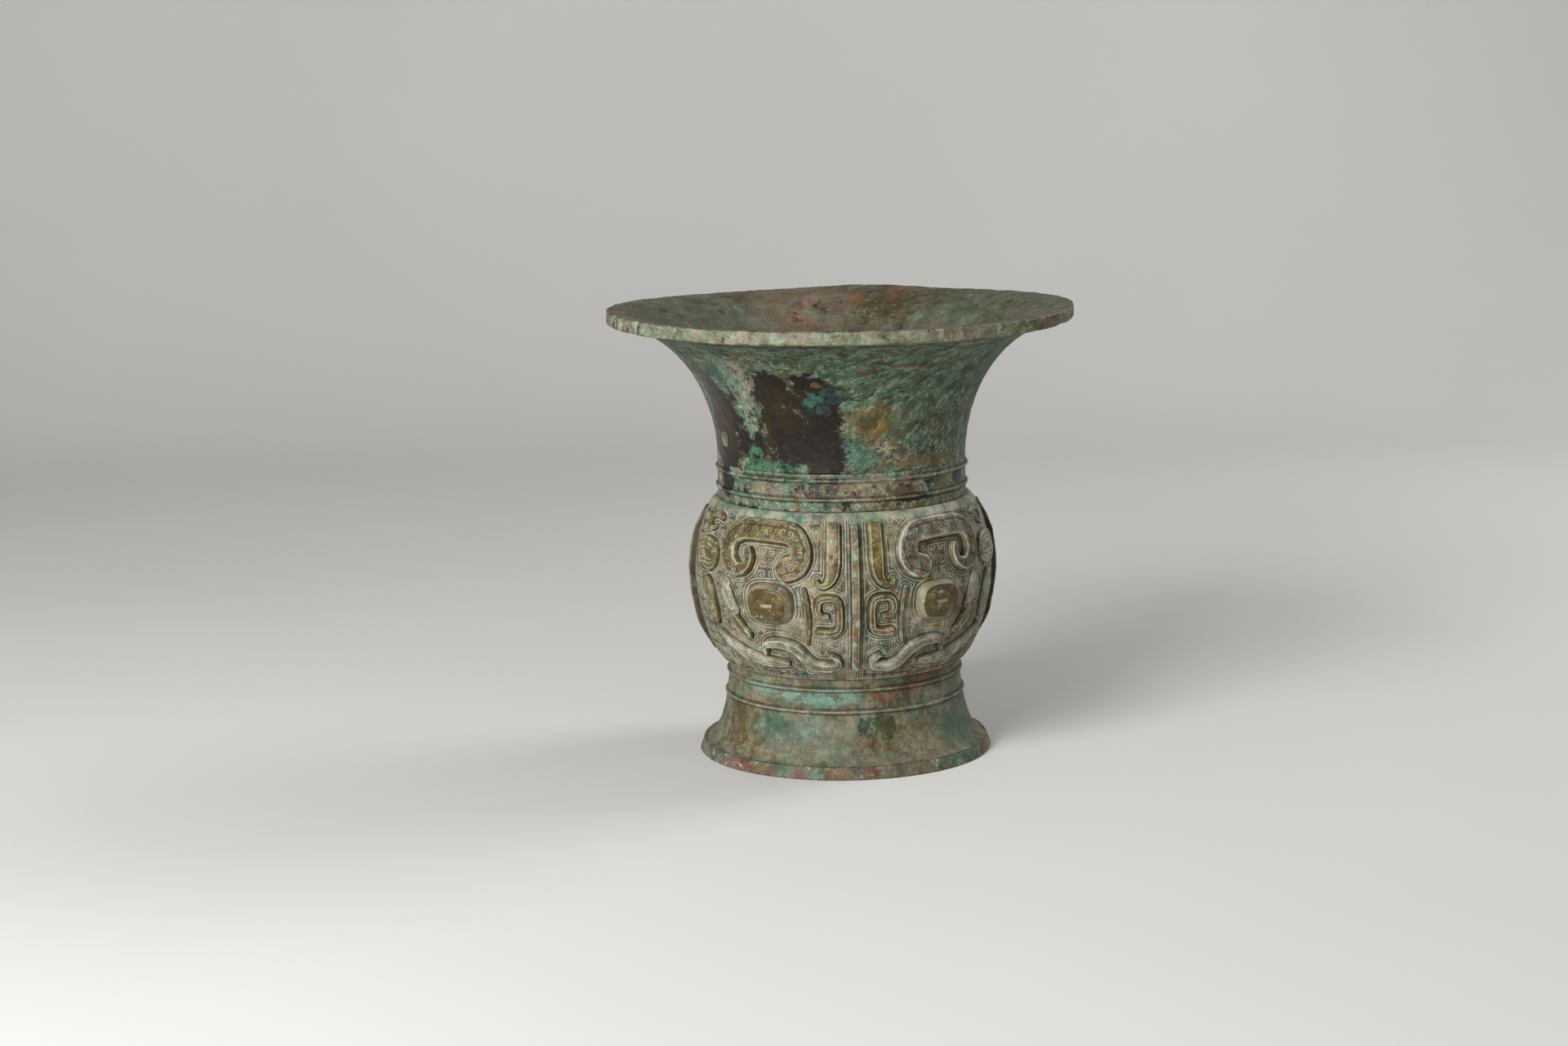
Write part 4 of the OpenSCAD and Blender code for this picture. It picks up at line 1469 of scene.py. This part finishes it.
# Centre lines of a mask's right half as (across, up, width): across runs from 0 at the nose to 100 at
# the flange beside the mask, up from 0 to 100 over the mask, and width is a share of the band's own
HORN: Line = (
    (71.9, 69.5, 1.14), (75.1, 71.4, 1.11), (77.1, 76.4, 1.05), (76.6, 83.3, 1), (72.9, 88.9, 0.98),
    (65.4, 90.3, 0.96), (56.3, 90.5, 0.96), (48.4, 89.9, 0.96), (42.9, 86, 0.95), (41.2, 79, 0.93),
    (42.4, 71.6, 0.86), (46.7, 67, 0.74), (51.2, 68.6, 0.58), (53.3, 73.4, 0.5), (52.8, 77.6, 0.5),
)
BODY_BAR: Line = (
    (90.9, 95, 1), (91, 84.5, 1), (90.9, 71.8, 0.98), (90.1, 64.8, 0.8), (87.8, 60.6, 0.58),
    (85.1, 60.4, 0.47), (84.1, 63.4, 0.4),
)
CLAW: Line = (
    (84.9, 31.6, 1.04), (89.3, 31.4, 1.04), (92.5, 33.1, 1), (93.3, 38.5, 0.96), (93.3, 46.6, 0.92),
    (92.4, 51.4, 0.92), (88.9, 52.8, 0.92), (85.2, 51.5, 0.96), (84.2, 46.6, 0.92),
    (85.3, 42.4, 0.81), (88.2, 41.5, 0.65),
)
CHEEK: Line = ((79, 57.5, 1), (80.3, 46.6, 1), (80.4, 35, 1), (79.5, 24.7, 0.93))
JAW: Line = (
    (89.7, 17, 0.5), (92.3, 13.9, 0.75), (91.6, 10.5, 0.9), (86.7, 9.7, 0.97), (81.7, 10.9, 1),
    (77.8, 15.5, 1.03), (74.1, 20.7, 1.03), (68.6, 23.4, 1), (62.7, 23.6, 0.91), (58.9, 21.3, 0.73),
    (59.1, 17.8, 0.55),
)
LIP_LEAF: Line = (
    (68.2, 10.5, 0.55), (61.1, 10.5, 0.8), (53.3, 11.8, 0.9), (46.1, 14.6, 0.95),
    (39.4, 18.4, 0.85), (34.7, 22.4, 0.65), (31.9, 26.1, 0.4),
)
NOSTRIL: Line = ((51, 26.6, 0.65), (47.7, 29.5, 0.97), (45.3, 33.9, 1), (43.6, 38.3, 0.61))
SNOUT: Line = ((45, 41.4, 0.6), (41.7, 46.6, 1), (40, 53.4, 1), (40.6, 58, 0.6))
NOSE: Line = (
    (25.8, 53.4, 0.82), (26.4, 48.9, 1), (27.6, 43.1, 0.96), (29.1, 37.4, 0.8), (30, 33.3, 0.55),
)
FOREHEAD: Line = ((26.3, 71.6, 1), (22.8, 72.1, 1), (19.2, 71.6, 1))
BROW: Line = (
    (30.6, 94.3, 0.9), (26.1, 95.5, 1), (21.7, 94.6, 1), (20, 90.2, 1), (23.3, 87.2, 0.9),
    (27.2, 88.6, 0.7),
)


def square_spirals(x: np.ndarray, y: np.ndarray, tile: float, pitch: float) -> np.ndarray:
    """Rows of square spirals, the thunder pattern of such castings.

    Args:
        x: distances along the rows in millimetres.
        y: distances across the rows in millimetres.
        tile: side of one spiral.
        pitch: distance from line to line.

    Returns:
        From -1 in a groove to 1 on a line.
    """
    squareness, frame_from, frame_full = 5, 0.8, 0.94
    i, j = np.floor(x / tile), np.floor(y / tile)
    u, v = 2 * (x / tile - i) - 1, 2 * (y / tile - j) - 1
    u = np.where((i + j) % 2 == 0, u, -u)
    v = np.where(j % 2 == 0, v, -v)
    away = (np.abs(u) ** squareness + np.abs(v) ** squareness) ** (1 / squareness)
    phase = away * tile / 2 / pitch - np.arctan2(v, u) / (2 * math.pi)
    wave = np.cos(2 * math.pi * phase)
    frame_line = smooth(np.maximum(np.abs(u), np.abs(v)), frame_from, frame_full)
    return wave * (1 - frame_line) - frame_line


@dataclass(frozen=True)
class ReliefBand:
    """A raised band of a mask: the line it follows, its section and its carving, in millimetres."""

    node: str
    line: Line
    width: float
    rise: float
    cap: float = 1.0
    edge: float = 1.5
    grooves: tuple[float, ...] = (1.7,)
    carving: Carving = Carving.LINES
    crown: float = 0.08


BANDS = (
    ReliefBand("horns", HORN, 12.6, 3.6, grooves=(1.5,), carving=Carving.SCROLLS, edge=1.9, crown=0.06),
    ReliefBand("body_bars", BODY_BAR, 8.6, 2.4, cap=0.35, grooves=(1.4,), edge=1.2),
    ReliefBand("claws", CLAW, 5.2, 2.4, grooves=(1.5,), edge=1.0),
    ReliefBand("cheeks", CHEEK, 3.0, 1.4, grooves=(), edge=0.9),
    ReliefBand("jaws", JAW, 6.6, 3.6, grooves=(1.6,), edge=1.3),
    ReliefBand("lips", LIP_LEAF, 8.0, 2.4, grooves=(1.5, 2.9), edge=1.1),
    ReliefBand("nostrils", NOSTRIL, 7.6, 2.4, grooves=(1.6,), edge=1.2),
    ReliefBand("snout_scrolls", SNOUT, 9.0, 1.4, grooves=(1.4, 3.0), edge=0.9),
    ReliefBand("noses", NOSE, 12.4, 2.4, grooves=(1.5, 3.6), edge=1.2),
    ReliefBand("foreheads", FOREHEAD, 18.0, 2.4, grooves=(1.6, 4.2, 6.4), edge=1.6, crown=0.2),
    ReliefBand("brows", BROW, 4.0, 1.4, grooves=(), edge=0.9),
)


@dataclass(frozen=True)
class MaskGrid:
    """The mask's own grid on half of the belly, and the forms laid out on it."""

    form: VesselForm
    margin: float = 1.5
    eye_across: float = 63.0
    eye_up: float = 47.7
    eye_w: float = 28.0
    eye_h: float = 22.0
    eye_squareness: float = 2.9
    flange_half: float = 2.5
    sample: float = 0.4

    @property
    def half_girth(self) -> float:
        """Distance along the girth from the flange on a mask's nose to the flange beside the mask."""
        return self.form.belly_r * math.pi / 2

    def eye_centre(self) -> Point:
        """Place of the right eye, along the girth and up."""
        return self.eye_across / 100 * self.half_girth, self.level(self.eye_up)

    def level(self, up: float) -> float:
        """Height in millimetres of a place on the grid."""
        height = self.form.collar_z - self.form.foot_h - 2 * self.margin
        return self.form.foot_h + self.margin + up / 100 * height

    def centre_line(self, band: ReliefBand) -> np.ndarray:
        """Smooth curve through a band's points.

        Args:
            band: the band.

        Returns:
            Evenly spaced rows of along, up and half width, in millimetres.
        """
        p = np.array([
            (a / 100 * self.half_girth, self.level(u), w * band.width / 2) for a, u, w in band.line])
        padded = np.vstack([p[:1], p, p[-1:]])
        t = np.linspace(0, 1, 24, endpoint=False)[:, None]
        stretches = [
            (2 * b + (c - a) * t + (2 * a - 5 * b + 4 * c - d) * t ** 2
             + (3 * b - a - 3 * c + d) * t ** 3) / 2
            for a, b, c, d in zip(padded, padded[1:], padded[2:], padded[3:])
        ]
        fine = np.vstack([*stretches, p[-1:]])
        along = distances(fine[:, :2])
        even = np.linspace(0, along[-1], max(8, round(along[-1] / self.sample)))
        return sampled(even, along, fine)

    def gap(self, x: np.ndarray, z: np.ndarray) -> np.ndarray:
        """How far each place on the ground lies from the relief.

        Args:
            x: distances along the girth from the mask's nose.
            z: heights.

        Returns:
            Distance to the nearest form's edge, below 0 under the form.
        """
        x = np.abs(x)
        cx, cz = self.eye_centre()
        n = self.eye_squareness
        dx, dz = np.abs((x - cx) / (self.eye_w / 2)), np.abs((z - cz) / (self.eye_h / 2))
        share = (dx ** n + dz ** n) ** (1 / n)
        flange_gap = np.minimum(self.half_girth - x, x) - self.flange_half
        nearest = np.minimum((share - 1) * self.eye_h / 2, flange_gap)
        for band in BANDS:
            for along, up, half in self.centre_line(band)[::3]:
                np.minimum(nearest, np.hypot(x - along, z - up) - half, out=nearest)
        return nearest


@dataclass
class Belly:
    """The belly's wall with its carved ground, in one closed panel for each half of a mask."""

    grid: MaskGrid
    columns: int = 308
    outer_rows: int = 296
    inner_rows: int = 22
    carve: float = 0.42
    pitch: float = 1.5
    tile: float = 6.0
    contour_lines: Point = (1.9, 2.1)
    foot_plain: Point = (1.0, 2.2)
    collar_plain: Point = (3.0, 5.0)
    groove_slope: float = 0.7
    least_kept: float = 0.25
    mean_kept: float = 0.72
    wear: Swells = (Swell(30.0, 0.35, seed=21), Swell(6.0, 0.2, seed=22))
    mean_dent: float = 0.12
    dents: Swells = (Swell(9.0, 0.06, seed=23),)

    def build(self) -> None:
        """Builds the four panels, which meet under the flanges."""
        form = self.grid.form
        outer = form.bulge(
            (form.foot_waist_r, form.foot_h), (form.belly_r, form.mid_z), (form.shoulder_r, form.collar_z),
        )
        inner = form.bulge(
            (form.floor_r, form.foot_h + form.floor_t), (form.belly_r - form.belly_wall, form.mid_z),
            (form.bore_r, form.collar_z),
        )
        outer_rz = self.spaced(outer, self.outer_rows)
        inner_rz = self.spaced(inner[::-1], self.inner_rows)
        loop = np.vstack([outer_rz, inner_rz, [[form.floor_r, form.foot_h]]])
        rows = len(loop)
        ring = np.vstack([loop, loop[:1]])
        rise = np.concatenate([distances(outer_rz), np.zeros(rows + 1 - self.outer_rows)])
        for side, start in itertools.product(MaskSide, (-1, 0)):
            mesh, share, row, _ = wrapped_grids("carved_ground", self.columns, rows, 1)
            row = row.astype(int)
            x = (start + share) * self.grid.half_girth
            z = ring[row, 1]
            carved = row < self.outer_rows
            depth = np.where(carved, self.ground(x, z, rise[row], side), 0)
            outside = form.on_belly(x, z, -depth, side.turn)
            inside = round_axis(ring[row, 0], x / form.belly_r + math.radians(side.turn), z)
            hollow = depth / self.carve
            rubbed = np.where(carved, smooth(-hollow, -0.3, -0.12), 0)
            place(mesh, np.where(carved[:, None], outside, inside), hollow=hollow, rubbed=rubbed)
            weld(mesh, fill=True)
            half = "front" if (start < 0) == (side is MaskSide.RIGHT) else "back"
            name = f"carved_ground_{side.label}_{half}"
            Piece(name, GROUND, "belly_bronze", ("belly_wall",)).dress(mesh, inside_tilt=0.0)

    @staticmethod
    def spaced(curve: Profile, count: int) -> np.ndarray:
        """A curve's points, evenly spaced along it.

        Args:
            curve: the curve.
            count: how many points.

        Returns:
            One row a point.
        """
        points = np.array(curve)
        along = distances(points)
        return sampled(np.linspace(0, along[-1], count), along, points)

    def ground(self, x: np.ndarray, z: np.ndarray, rise: np.ndarray, side: MaskSide) -> np.ndarray:
        """The carving: lines that follow the relief, and square spirals in the room between.

        Args:
            x: distances along the girth from the mask's nose.
            z: heights.
            rise: distances up the wall from its foot.
            side: the mask.

        Returns:
            Depth below the ground's highest level.
        """
        gap = self.grid.gap(x, z)
        contour = -np.cos(2 * math.pi * gap / self.pitch)
        spirals = square_spirals(np.abs(x), rise, self.tile, self.pitch)
        room = smooth(gap / self.pitch, *self.contour_lines)
        wave = contour * (1 - room) + spirals * room
        form = self.grid.form
        ends = smooth(z - form.foot_h, *self.foot_plain) * smooth(form.collar_z - z, *self.collar_plain)
        spots = np.stack([x + side.turn, z, 0 * x], axis=1)
        kept = np.clip(self.mean_kept + uneven(spots, self.wear), self.least_kept, 1) * ends
        dent = self.mean_dent + uneven(spots, self.dents)
        return self.carve * (kept * smooth(-wave, -self.groove_slope, self.groove_slope) + dent)


@dataclass
class Mask:
    """One relief mask: raised bands and eyes, in pairs on both sides of its nose."""

    grid: MaskGrid
    side: MaskSide
    sink: float = 0.9
    groove_w: float = 0.42
    groove_d: float = 0.4
    scroll_tile: float = 4.2
    scroll_pitch: float = 1.5
    scroll_d: float = 0.26
    scroll_margin: Point = (2.3, 2.9)
    scroll_slope: float = 0.6
    # Painted shade at the foot of each band: its strength and width
    base_shade: float = 0.7
    base_shade_w: float = 0.9
    dents: Swells = (Swell(9.0, 0.1, seed=31), Swell(2.5, 0.05, seed=32))
    eye_dents: Swells = (Swell(8.0, 0.1, seed=41),)
    eye_rise: float = 4.4
    panel: float = 0.7
    slit_w: float = 7.4
    slit_h: float = 1.8
    slit_d: float = 0.4
    cell_l: float = 0.42
    cell_w: float = 0.4
    crowding: float = 0.4
    edge_power: float = 2.4
    headroom: float = 0.2
    eye_headroom: float = 0.1
    pair_shift: float = 40.0

    def build(self) -> None:
        """Builds every band of the mask and its eyes."""
        for band in BANDS:
            self.band(band)
        self.eyes()

    def finish_of(self, node: str) -> Finish:
        """The finish of one of the mask's forms: the right mask is mostly grey, the left mostly olive.

        Args:
            node: the form's name in the frame's nodes.

        Returns:
            The finish.
        """
        olive = ("body_bars", "claws", "nostrils")
        grey = ("jaws", "lips", "snout_scrolls")
        is_grey = node not in olive if self.side is MaskSide.RIGHT else node in grey
        return RELIEF_GREY if is_grey else RELIEF_OLIVE

    def band(self, band: ReliefBand) -> None:
        """Wraps a grid into a closed band along its centre line, on both halves of the mask.

        Args:
            band: the band.
        """
        line = self.grid.centre_line(band)
        along = distances(line[:, :2])
        length = along[-1]
        first, last = band.cap * line[0, 2], band.cap * line[-1, 2]
        columns = max(30, round((length + first + last) / self.cell_l))
        rows = max(13, round(band.width / self.cell_w) + 7)
        mesh, share, row, copy = wrapped_grids(f"{self.side.label}_{band.node}", columns, rows, 2)
        spot = -first + share * (length + first + last)
        inner = np.clip(spot, 0, length)
        over = np.where(spot < 0, -spot / first, np.where(spot > length, (spot - length) / last, 0))
        ahead = np.stack([np.gradient(line[:, k], along) for k in range(2)], axis=1)
        ahead /= np.linalg.norm(ahead, axis=1)[:, None]
        heading = sampled(inner, along, ahead)
        heading /= np.linalg.norm(heading, axis=1)[:, None]
        centre = sampled(inner, along, line[:, :2]) + heading * (spot - inner)[:, None]
        half = np.interp(inner, along, line[:, 2]) * np.sqrt(np.clip(1 - over ** 2, 0, 1))
        t = across(row, rows, self.crowding)
        x = centre[:, 0] - heading[:, 1] * half * t
        z = centre[:, 1] + heading[:, 0] * half * t
        inset = np.minimum(half * (1 - np.abs(t)), (1 - over) * np.maximum(half, 0.3) * 2)
        body = rounded(inset, band.edge, self.edge_power)
        crown = band.crown * band.rise * t ** 2
        lines = np.clip(sum((bell(inset, g, self.groove_w) for g in band.grooves), 0 * t), 0, 1)
        scrolls = self.scrolls(band, inset, spot, half * t)
        places = np.stack([x + self.side.turn, z, copy * self.pair_shift], axis=1)
        top = band.rise - self.headroom + self.sink + uneven(places, self.dents) - crown
        h = -self.sink + body * top - (lines * self.groove_d + scrolls) * body
        # Earth in the scroll grooves, and painted shade at the band's foot
        hollow = np.maximum(scrolls / self.groove_d, self.base_shade * (1 - smooth(inset, 0, self.base_shade_w)))
        points = self.grid.form.on_belly(np.where(copy == 1, -x, x), z, h, self.side.turn)
        self.finished(band.node, self.finish_of(band.node), mesh, points, hollow=hollow, rubbed=lines)

    def scrolls(
        self, band: ReliefBand, inset: np.ndarray, spot: np.ndarray, off: np.ndarray,
    ) -> np.ndarray:
        """How deep the scrolls on a band's face are cut.

        Args:
            band: the band.
            inset: distances from its edge.
            spot: distances along it.
            off: distances from its centre line.

        Returns:
            Depths, 0 where the band has no scrolls.
        """
        if band.carving is Carving.LINES:
            return 0 * inset
        tile = self.scroll_tile
        wave = square_spirals(spot, off + tile / 2, tile, self.scroll_pitch)
        face = smooth(inset, *self.scroll_margin)
        return face * self.scroll_d * smooth(-wave, -self.scroll_slope, self.scroll_slope)

    def finished(self, form_name: str, finish: Finish, mesh: bpy.types.Mesh, points: np.ndarray,
                 **notes: np.ndarray) -> None:
        """Puts a form's mesh in place and dresses it.

        Args:
            form_name: the form's name in the frame's nodes.
            finish: its finish.
            mesh: the mesh, with its vertices still in their grids.
            points: where the vertices go.
            **notes: how hollow each point is, with painted shade at the form's foot, and how worn.
        """
        place(mesh, points, **notes)
        weld(mesh)
        node = f"{self.side.label}_mask_{form_name}"
        Piece(f"{self.side.label}_{form_name}_cast", finish, "relief_bronze", (node,)).dress(mesh)

    def eyes(self) -> None:
        """Builds both eyes: a rounded square with a wide bevel, an incised outline and a slit."""
        grid = self.grid
        columns, rows = 150, 44
        mesh, around, row, copy = wrapped_grids(f"{self.side.label}_eyes", columns, rows, 2)
        share = np.where(row == 0, 0, 1 - (row - 1) / (rows - 1))
        cx, cz = grid.eye_centre()
        dx, dz = rounded_square(around * 2 * math.pi, grid.eye_squareness)
        dx, dz = share * grid.eye_w / 2 * dx, share * grid.eye_h / 2 * dz
        inset = 1 - share
        steep_edge = 0.45 * smooth(inset, 0, 0.08)
        wide_bevel = 0.47 * smooth(inset, 0.02, 0.3)
        domed_panel = 0.08 * (1 - share ** 2)
        slit = smooth(-np.abs(dx), -self.slit_w / 2, -self.slit_w / 2 + 0.8)
        slit = slit * smooth(-np.abs(dz), -self.slit_h / 2 - 0.3, -self.slit_h / 2 + 0.4)
        places = np.stack([dx + self.side.turn, dz, copy * self.pair_shift], axis=1)
        outline = bell(share, self.panel, 0.028)
        cut = self.groove_d * outline + self.slit_d * slit
        top = self.eye_rise - self.eye_headroom + self.sink + uneven(places, self.eye_dents)
        body = steep_edge + wide_bevel + domed_panel
        h = np.where(row <= 1, -self.sink, -self.sink + body * top - cut)
        x = np.where(copy == 1, -(cx + dx), cx + dx)
        # Earth in the incised outline, and painted shade at the eye's foot
        hollow = np.maximum(0.5 * outline, 1 - smooth(inset, 0.0, 0.04))
        rubbed = np.maximum(0.6 * smooth(share, self.panel + 0.02, self.panel + 0.08), slit)
        points = grid.form.on_belly(x, cz + dz, h, self.side.turn)
        self.finished("eyes", EYE, mesh, points, hollow=hollow, rubbed=rubbed)


class FlangePlace(Enum):
    """The four flanges: name, degrees from -Y towards +X, and the length over which the ends fade."""

    FRONT = ("front", 0.0, 3.0)
    RIGHT = ("right", 90.0, 18.0)
    BACK = ("back", 180.0, 3.0)
    LEFT = ("left", -90.0, 18.0)


@dataclass
class Flange:
    """A low ridge over a mould joint, hatched along both sides, whose crest reaches past its foot by lean."""

    form: VesselForm
    spot: FlangePlace
    width: float = 5.0
    rise: float = 3.4
    sink: float = 0.9
    hatch: float = 2.6
    hatch_d: float = 0.12
    hatch_slant: float = 1.2
    hatch_start: Point = (0.2, 0.7)
    hatch_stop: Point = (1.7, 2.1)
    dents: Swells = (Swell(7.0, 0.12, seed=51),)
    lean: float = 1.8
    end_round: float = 1.6
    edge: float = 0.9
    edge_power: float = 2.6
    headroom: float = 0.1
    low_share: float = 0.3

    def build(self) -> None:
        """Wraps a grid into the closed ridge."""
        label, turn, fade = self.spot.value
        low, high = node_box(f"{label}_flange")
        rows, columns = 22, 230
        mesh, share, row, _ = wrapped_grids(f"{label}_ridge", columns, rows, 1)
        t = across(row, rows, crowding=0.5)
        length = high.z - low.z - 2 * self.lean
        z = low.z + self.lean + share * length
        end = np.minimum(share, 1 - share) * length
        half = self.width / 2 * np.sqrt(np.clip(rounded(end, self.end_round, 2), 0, 1))
        inset = half * (1 - np.abs(t))
        body = rounded(inset, self.edge, self.edge_power)
        places = np.stack([half * t, z, turn + 0 * z], axis=1)
        slanted = z + self.hatch_slant * np.abs(half * t)
        lines = smooth(np.cos(2 * math.pi * slanted / self.hatch), 0.1, 0.9)
        cut = lines * smooth(inset, *self.hatch_start) * (1 - smooth(inset, *self.hatch_stop))
        rise = self.rise * (self.low_share + (1 - self.low_share) * smooth(end, 0, fade))
        top = rise - self.headroom + self.sink + uneven(places, self.dents)
        h = -self.sink + body * top - cut * self.hatch_d * body
        # Earth in the hatching and painted shade along the ridge's foot; the pale line on its shoulders is
        # wear and partly painted highlight
        hollow = np.maximum(0.5 * cut, 1 - smooth(inset, 0.1, 1.0))
        rubbed = bell(inset, self.edge, 0.4)
        place(mesh, self.form.on_belly(half * t, z, h, turn), hollow=hollow, rubbed=rubbed)
        weld(mesh)
        Piece(f"{label}_ridge_cast", FLANGE, "flange_bronze", (f"{label}_flange",)).dress(mesh)


@dataclass
class Studio:
    """Pale floor and backdrop, soft lamps and the camera of the picture."""

    image_width: int = 1920
    focal_pixels: float = 3480.0
    sensor: float = 36.0
    camera_mm: tuple[float, float, float] = (-31.7, -1520.0, 384.0)
    pitch: float = 9.72
    roll: float = -1.02
    swing: float = -3.3
    aim: tuple[float, float, float] = (0.0, 0.0, 0.12)
    sheet: float = 3.0
    bend_y: float = 1.1
    bend_r: float = 0.6
    air: float = 0.29

    def build(self) -> None:
        """Builds the stage, the lamps, the world and the camera."""
        self.backdrop()
        self.lamp("key_softbox", (-1.05, -1.2, 0.95), (0.7, 0.7), 34.0)
        self.lamp("side_softbox", (1.35, 0.55, 1.15), (0.7, 0.7), 14.0)
        self.lamp("strip_softbox", (-0.84, -1.65, 0.46), (0.14, 0.9), 11.0)
        self.world()
        self.camera()

    def backdrop(self) -> None:
        """A pale sheet that lies flat under the vessel and sweeps up behind it."""
        bm = bmesh.new()
        bmesh.ops.create_grid(bm, x_segments=40, y_segments=80, size=self.sheet)
        quarter = math.pi / 2
        for vert in bm.verts:
            past = (vert.co.y - self.bend_y) / self.bend_r
            if past > 0:
                a = min(past, quarter)
                vert.co.y = self.bend_y + self.bend_r * math.sin(a)
                vert.co.z = self.bend_r * (1 - math.cos(a) + max(past - quarter, 0))
        bmesh.ops.recalc_face_normals(bm, faces=bm.faces)
        mesh = new_mesh(bm, "studio_sheet")
        sheet = add_object("studio_sheet", mesh)
        mesh.polygons.foreach_set("use_smooth", [True] * len(mesh.polygons))
        mesh.materials.append(self.paper())

    def paper(self) -> bpy.types.Material:
        """Matt pale paper with a faint cloudiness, so that the floor isn't one flat tone.

        Returns:
            The material.
        """
        material = bpy.data.materials.new("studio_paper")
        tree = empty_tree(material)
        cloud_size = 0.4
        coords = add_node(tree, "ShaderNodeTexCoord").outputs["Object"]
        cloud = add_node(tree, "ShaderNodeTexNoise", {
            "Vector": coords, "Scale": 1 / cloud_size, "Detail": 3.0})
        tone = add_node(tree, "ShaderNodeMix", {
            0: cloud.outputs[0], 6: linear("#c9c8c4"), 7: linear("#d2d1cd")}, data_type="RGBA")
        shader = add_node(tree, "ShaderNodeBsdfPrincipled", {
            "Base Color": tone.outputs[2], "Roughness": 0.85})
        add_node(tree, "ShaderNodeOutputMaterial", {"Surface": shader.outputs[0]})
        return material

    def lamp(self, name: str, at: tuple[float, float, float], size: Point, watts: float) -> None:
        """A softbox that looks at the vessel's middle.

        Args:
            name: the lamp's name.
            at: its place in metres.
            size: its width and height in metres.
            watts: its power.
        """
        data = bpy.data.lights.new(name, "AREA")
        data.shape = "RECTANGLE"
        data.size, data.size_y = size
        data.energy = watts
        lamp = add_object(name, data)
        lamp.location = at
        way = Vector(self.aim) - Vector(at)
        lamp.rotation_euler = way.to_track_quat("-Z", "Y").to_euler()

    def world(self) -> None:
        """Even pale light from all round."""
        world = bpy.data.worlds.new("studio_air")
        bpy.context.scene.world = world
        tree = empty_tree(world)
        air = add_node(tree, "ShaderNodeBackground", {"Color": linear("#dcdcdc"), "Strength": self.air})
        add_node(tree, "ShaderNodeOutputWorld", {"Surface": air.outputs[0]})

    def camera(self) -> None:
        """The picture's camera: its set-up is swung so that the front flange faces -Y."""
        data = bpy.data.cameras.new("picture_camera")
        data.sensor_fit = "HORIZONTAL"
        data.sensor_width = self.sensor
        data.lens = self.focal_pixels / self.image_width * self.sensor
        camera = add_object("picture_camera", data)
        swing = Matrix.Rotation(math.radians(self.swing), 4, "Z")
        tilt = Matrix.Rotation(math.radians(90 - self.pitch), 4, "X")
        roll = Matrix.Rotation(math.radians(self.roll), 4, "Z")
        camera.matrix_world = swing @ Matrix.Translation(Vector(self.camera_mm) * MM) @ tilt @ roll
        bpy.context.scene.camera = camera


def main() -> None:
    """Builds the stage and the vessel's pieces from the foot up."""
    logging.basicConfig(level=logging.INFO, format="%(name)s: %(message)s")
    bpy.context.scene.view_settings.view_transform = "Standard"
    Studio().build()
    grid = MaskGrid(FORM)
    Foot(FORM).build()
    Floor(FORM).build()
    Belly(grid).build()
    for side in MaskSide:
        Mask(grid, side).build()
    for spot in FlangePlace:
        Flange(FORM, spot).build()
    Neck(FORM).build()


if __name__ == "__main__":
    main()
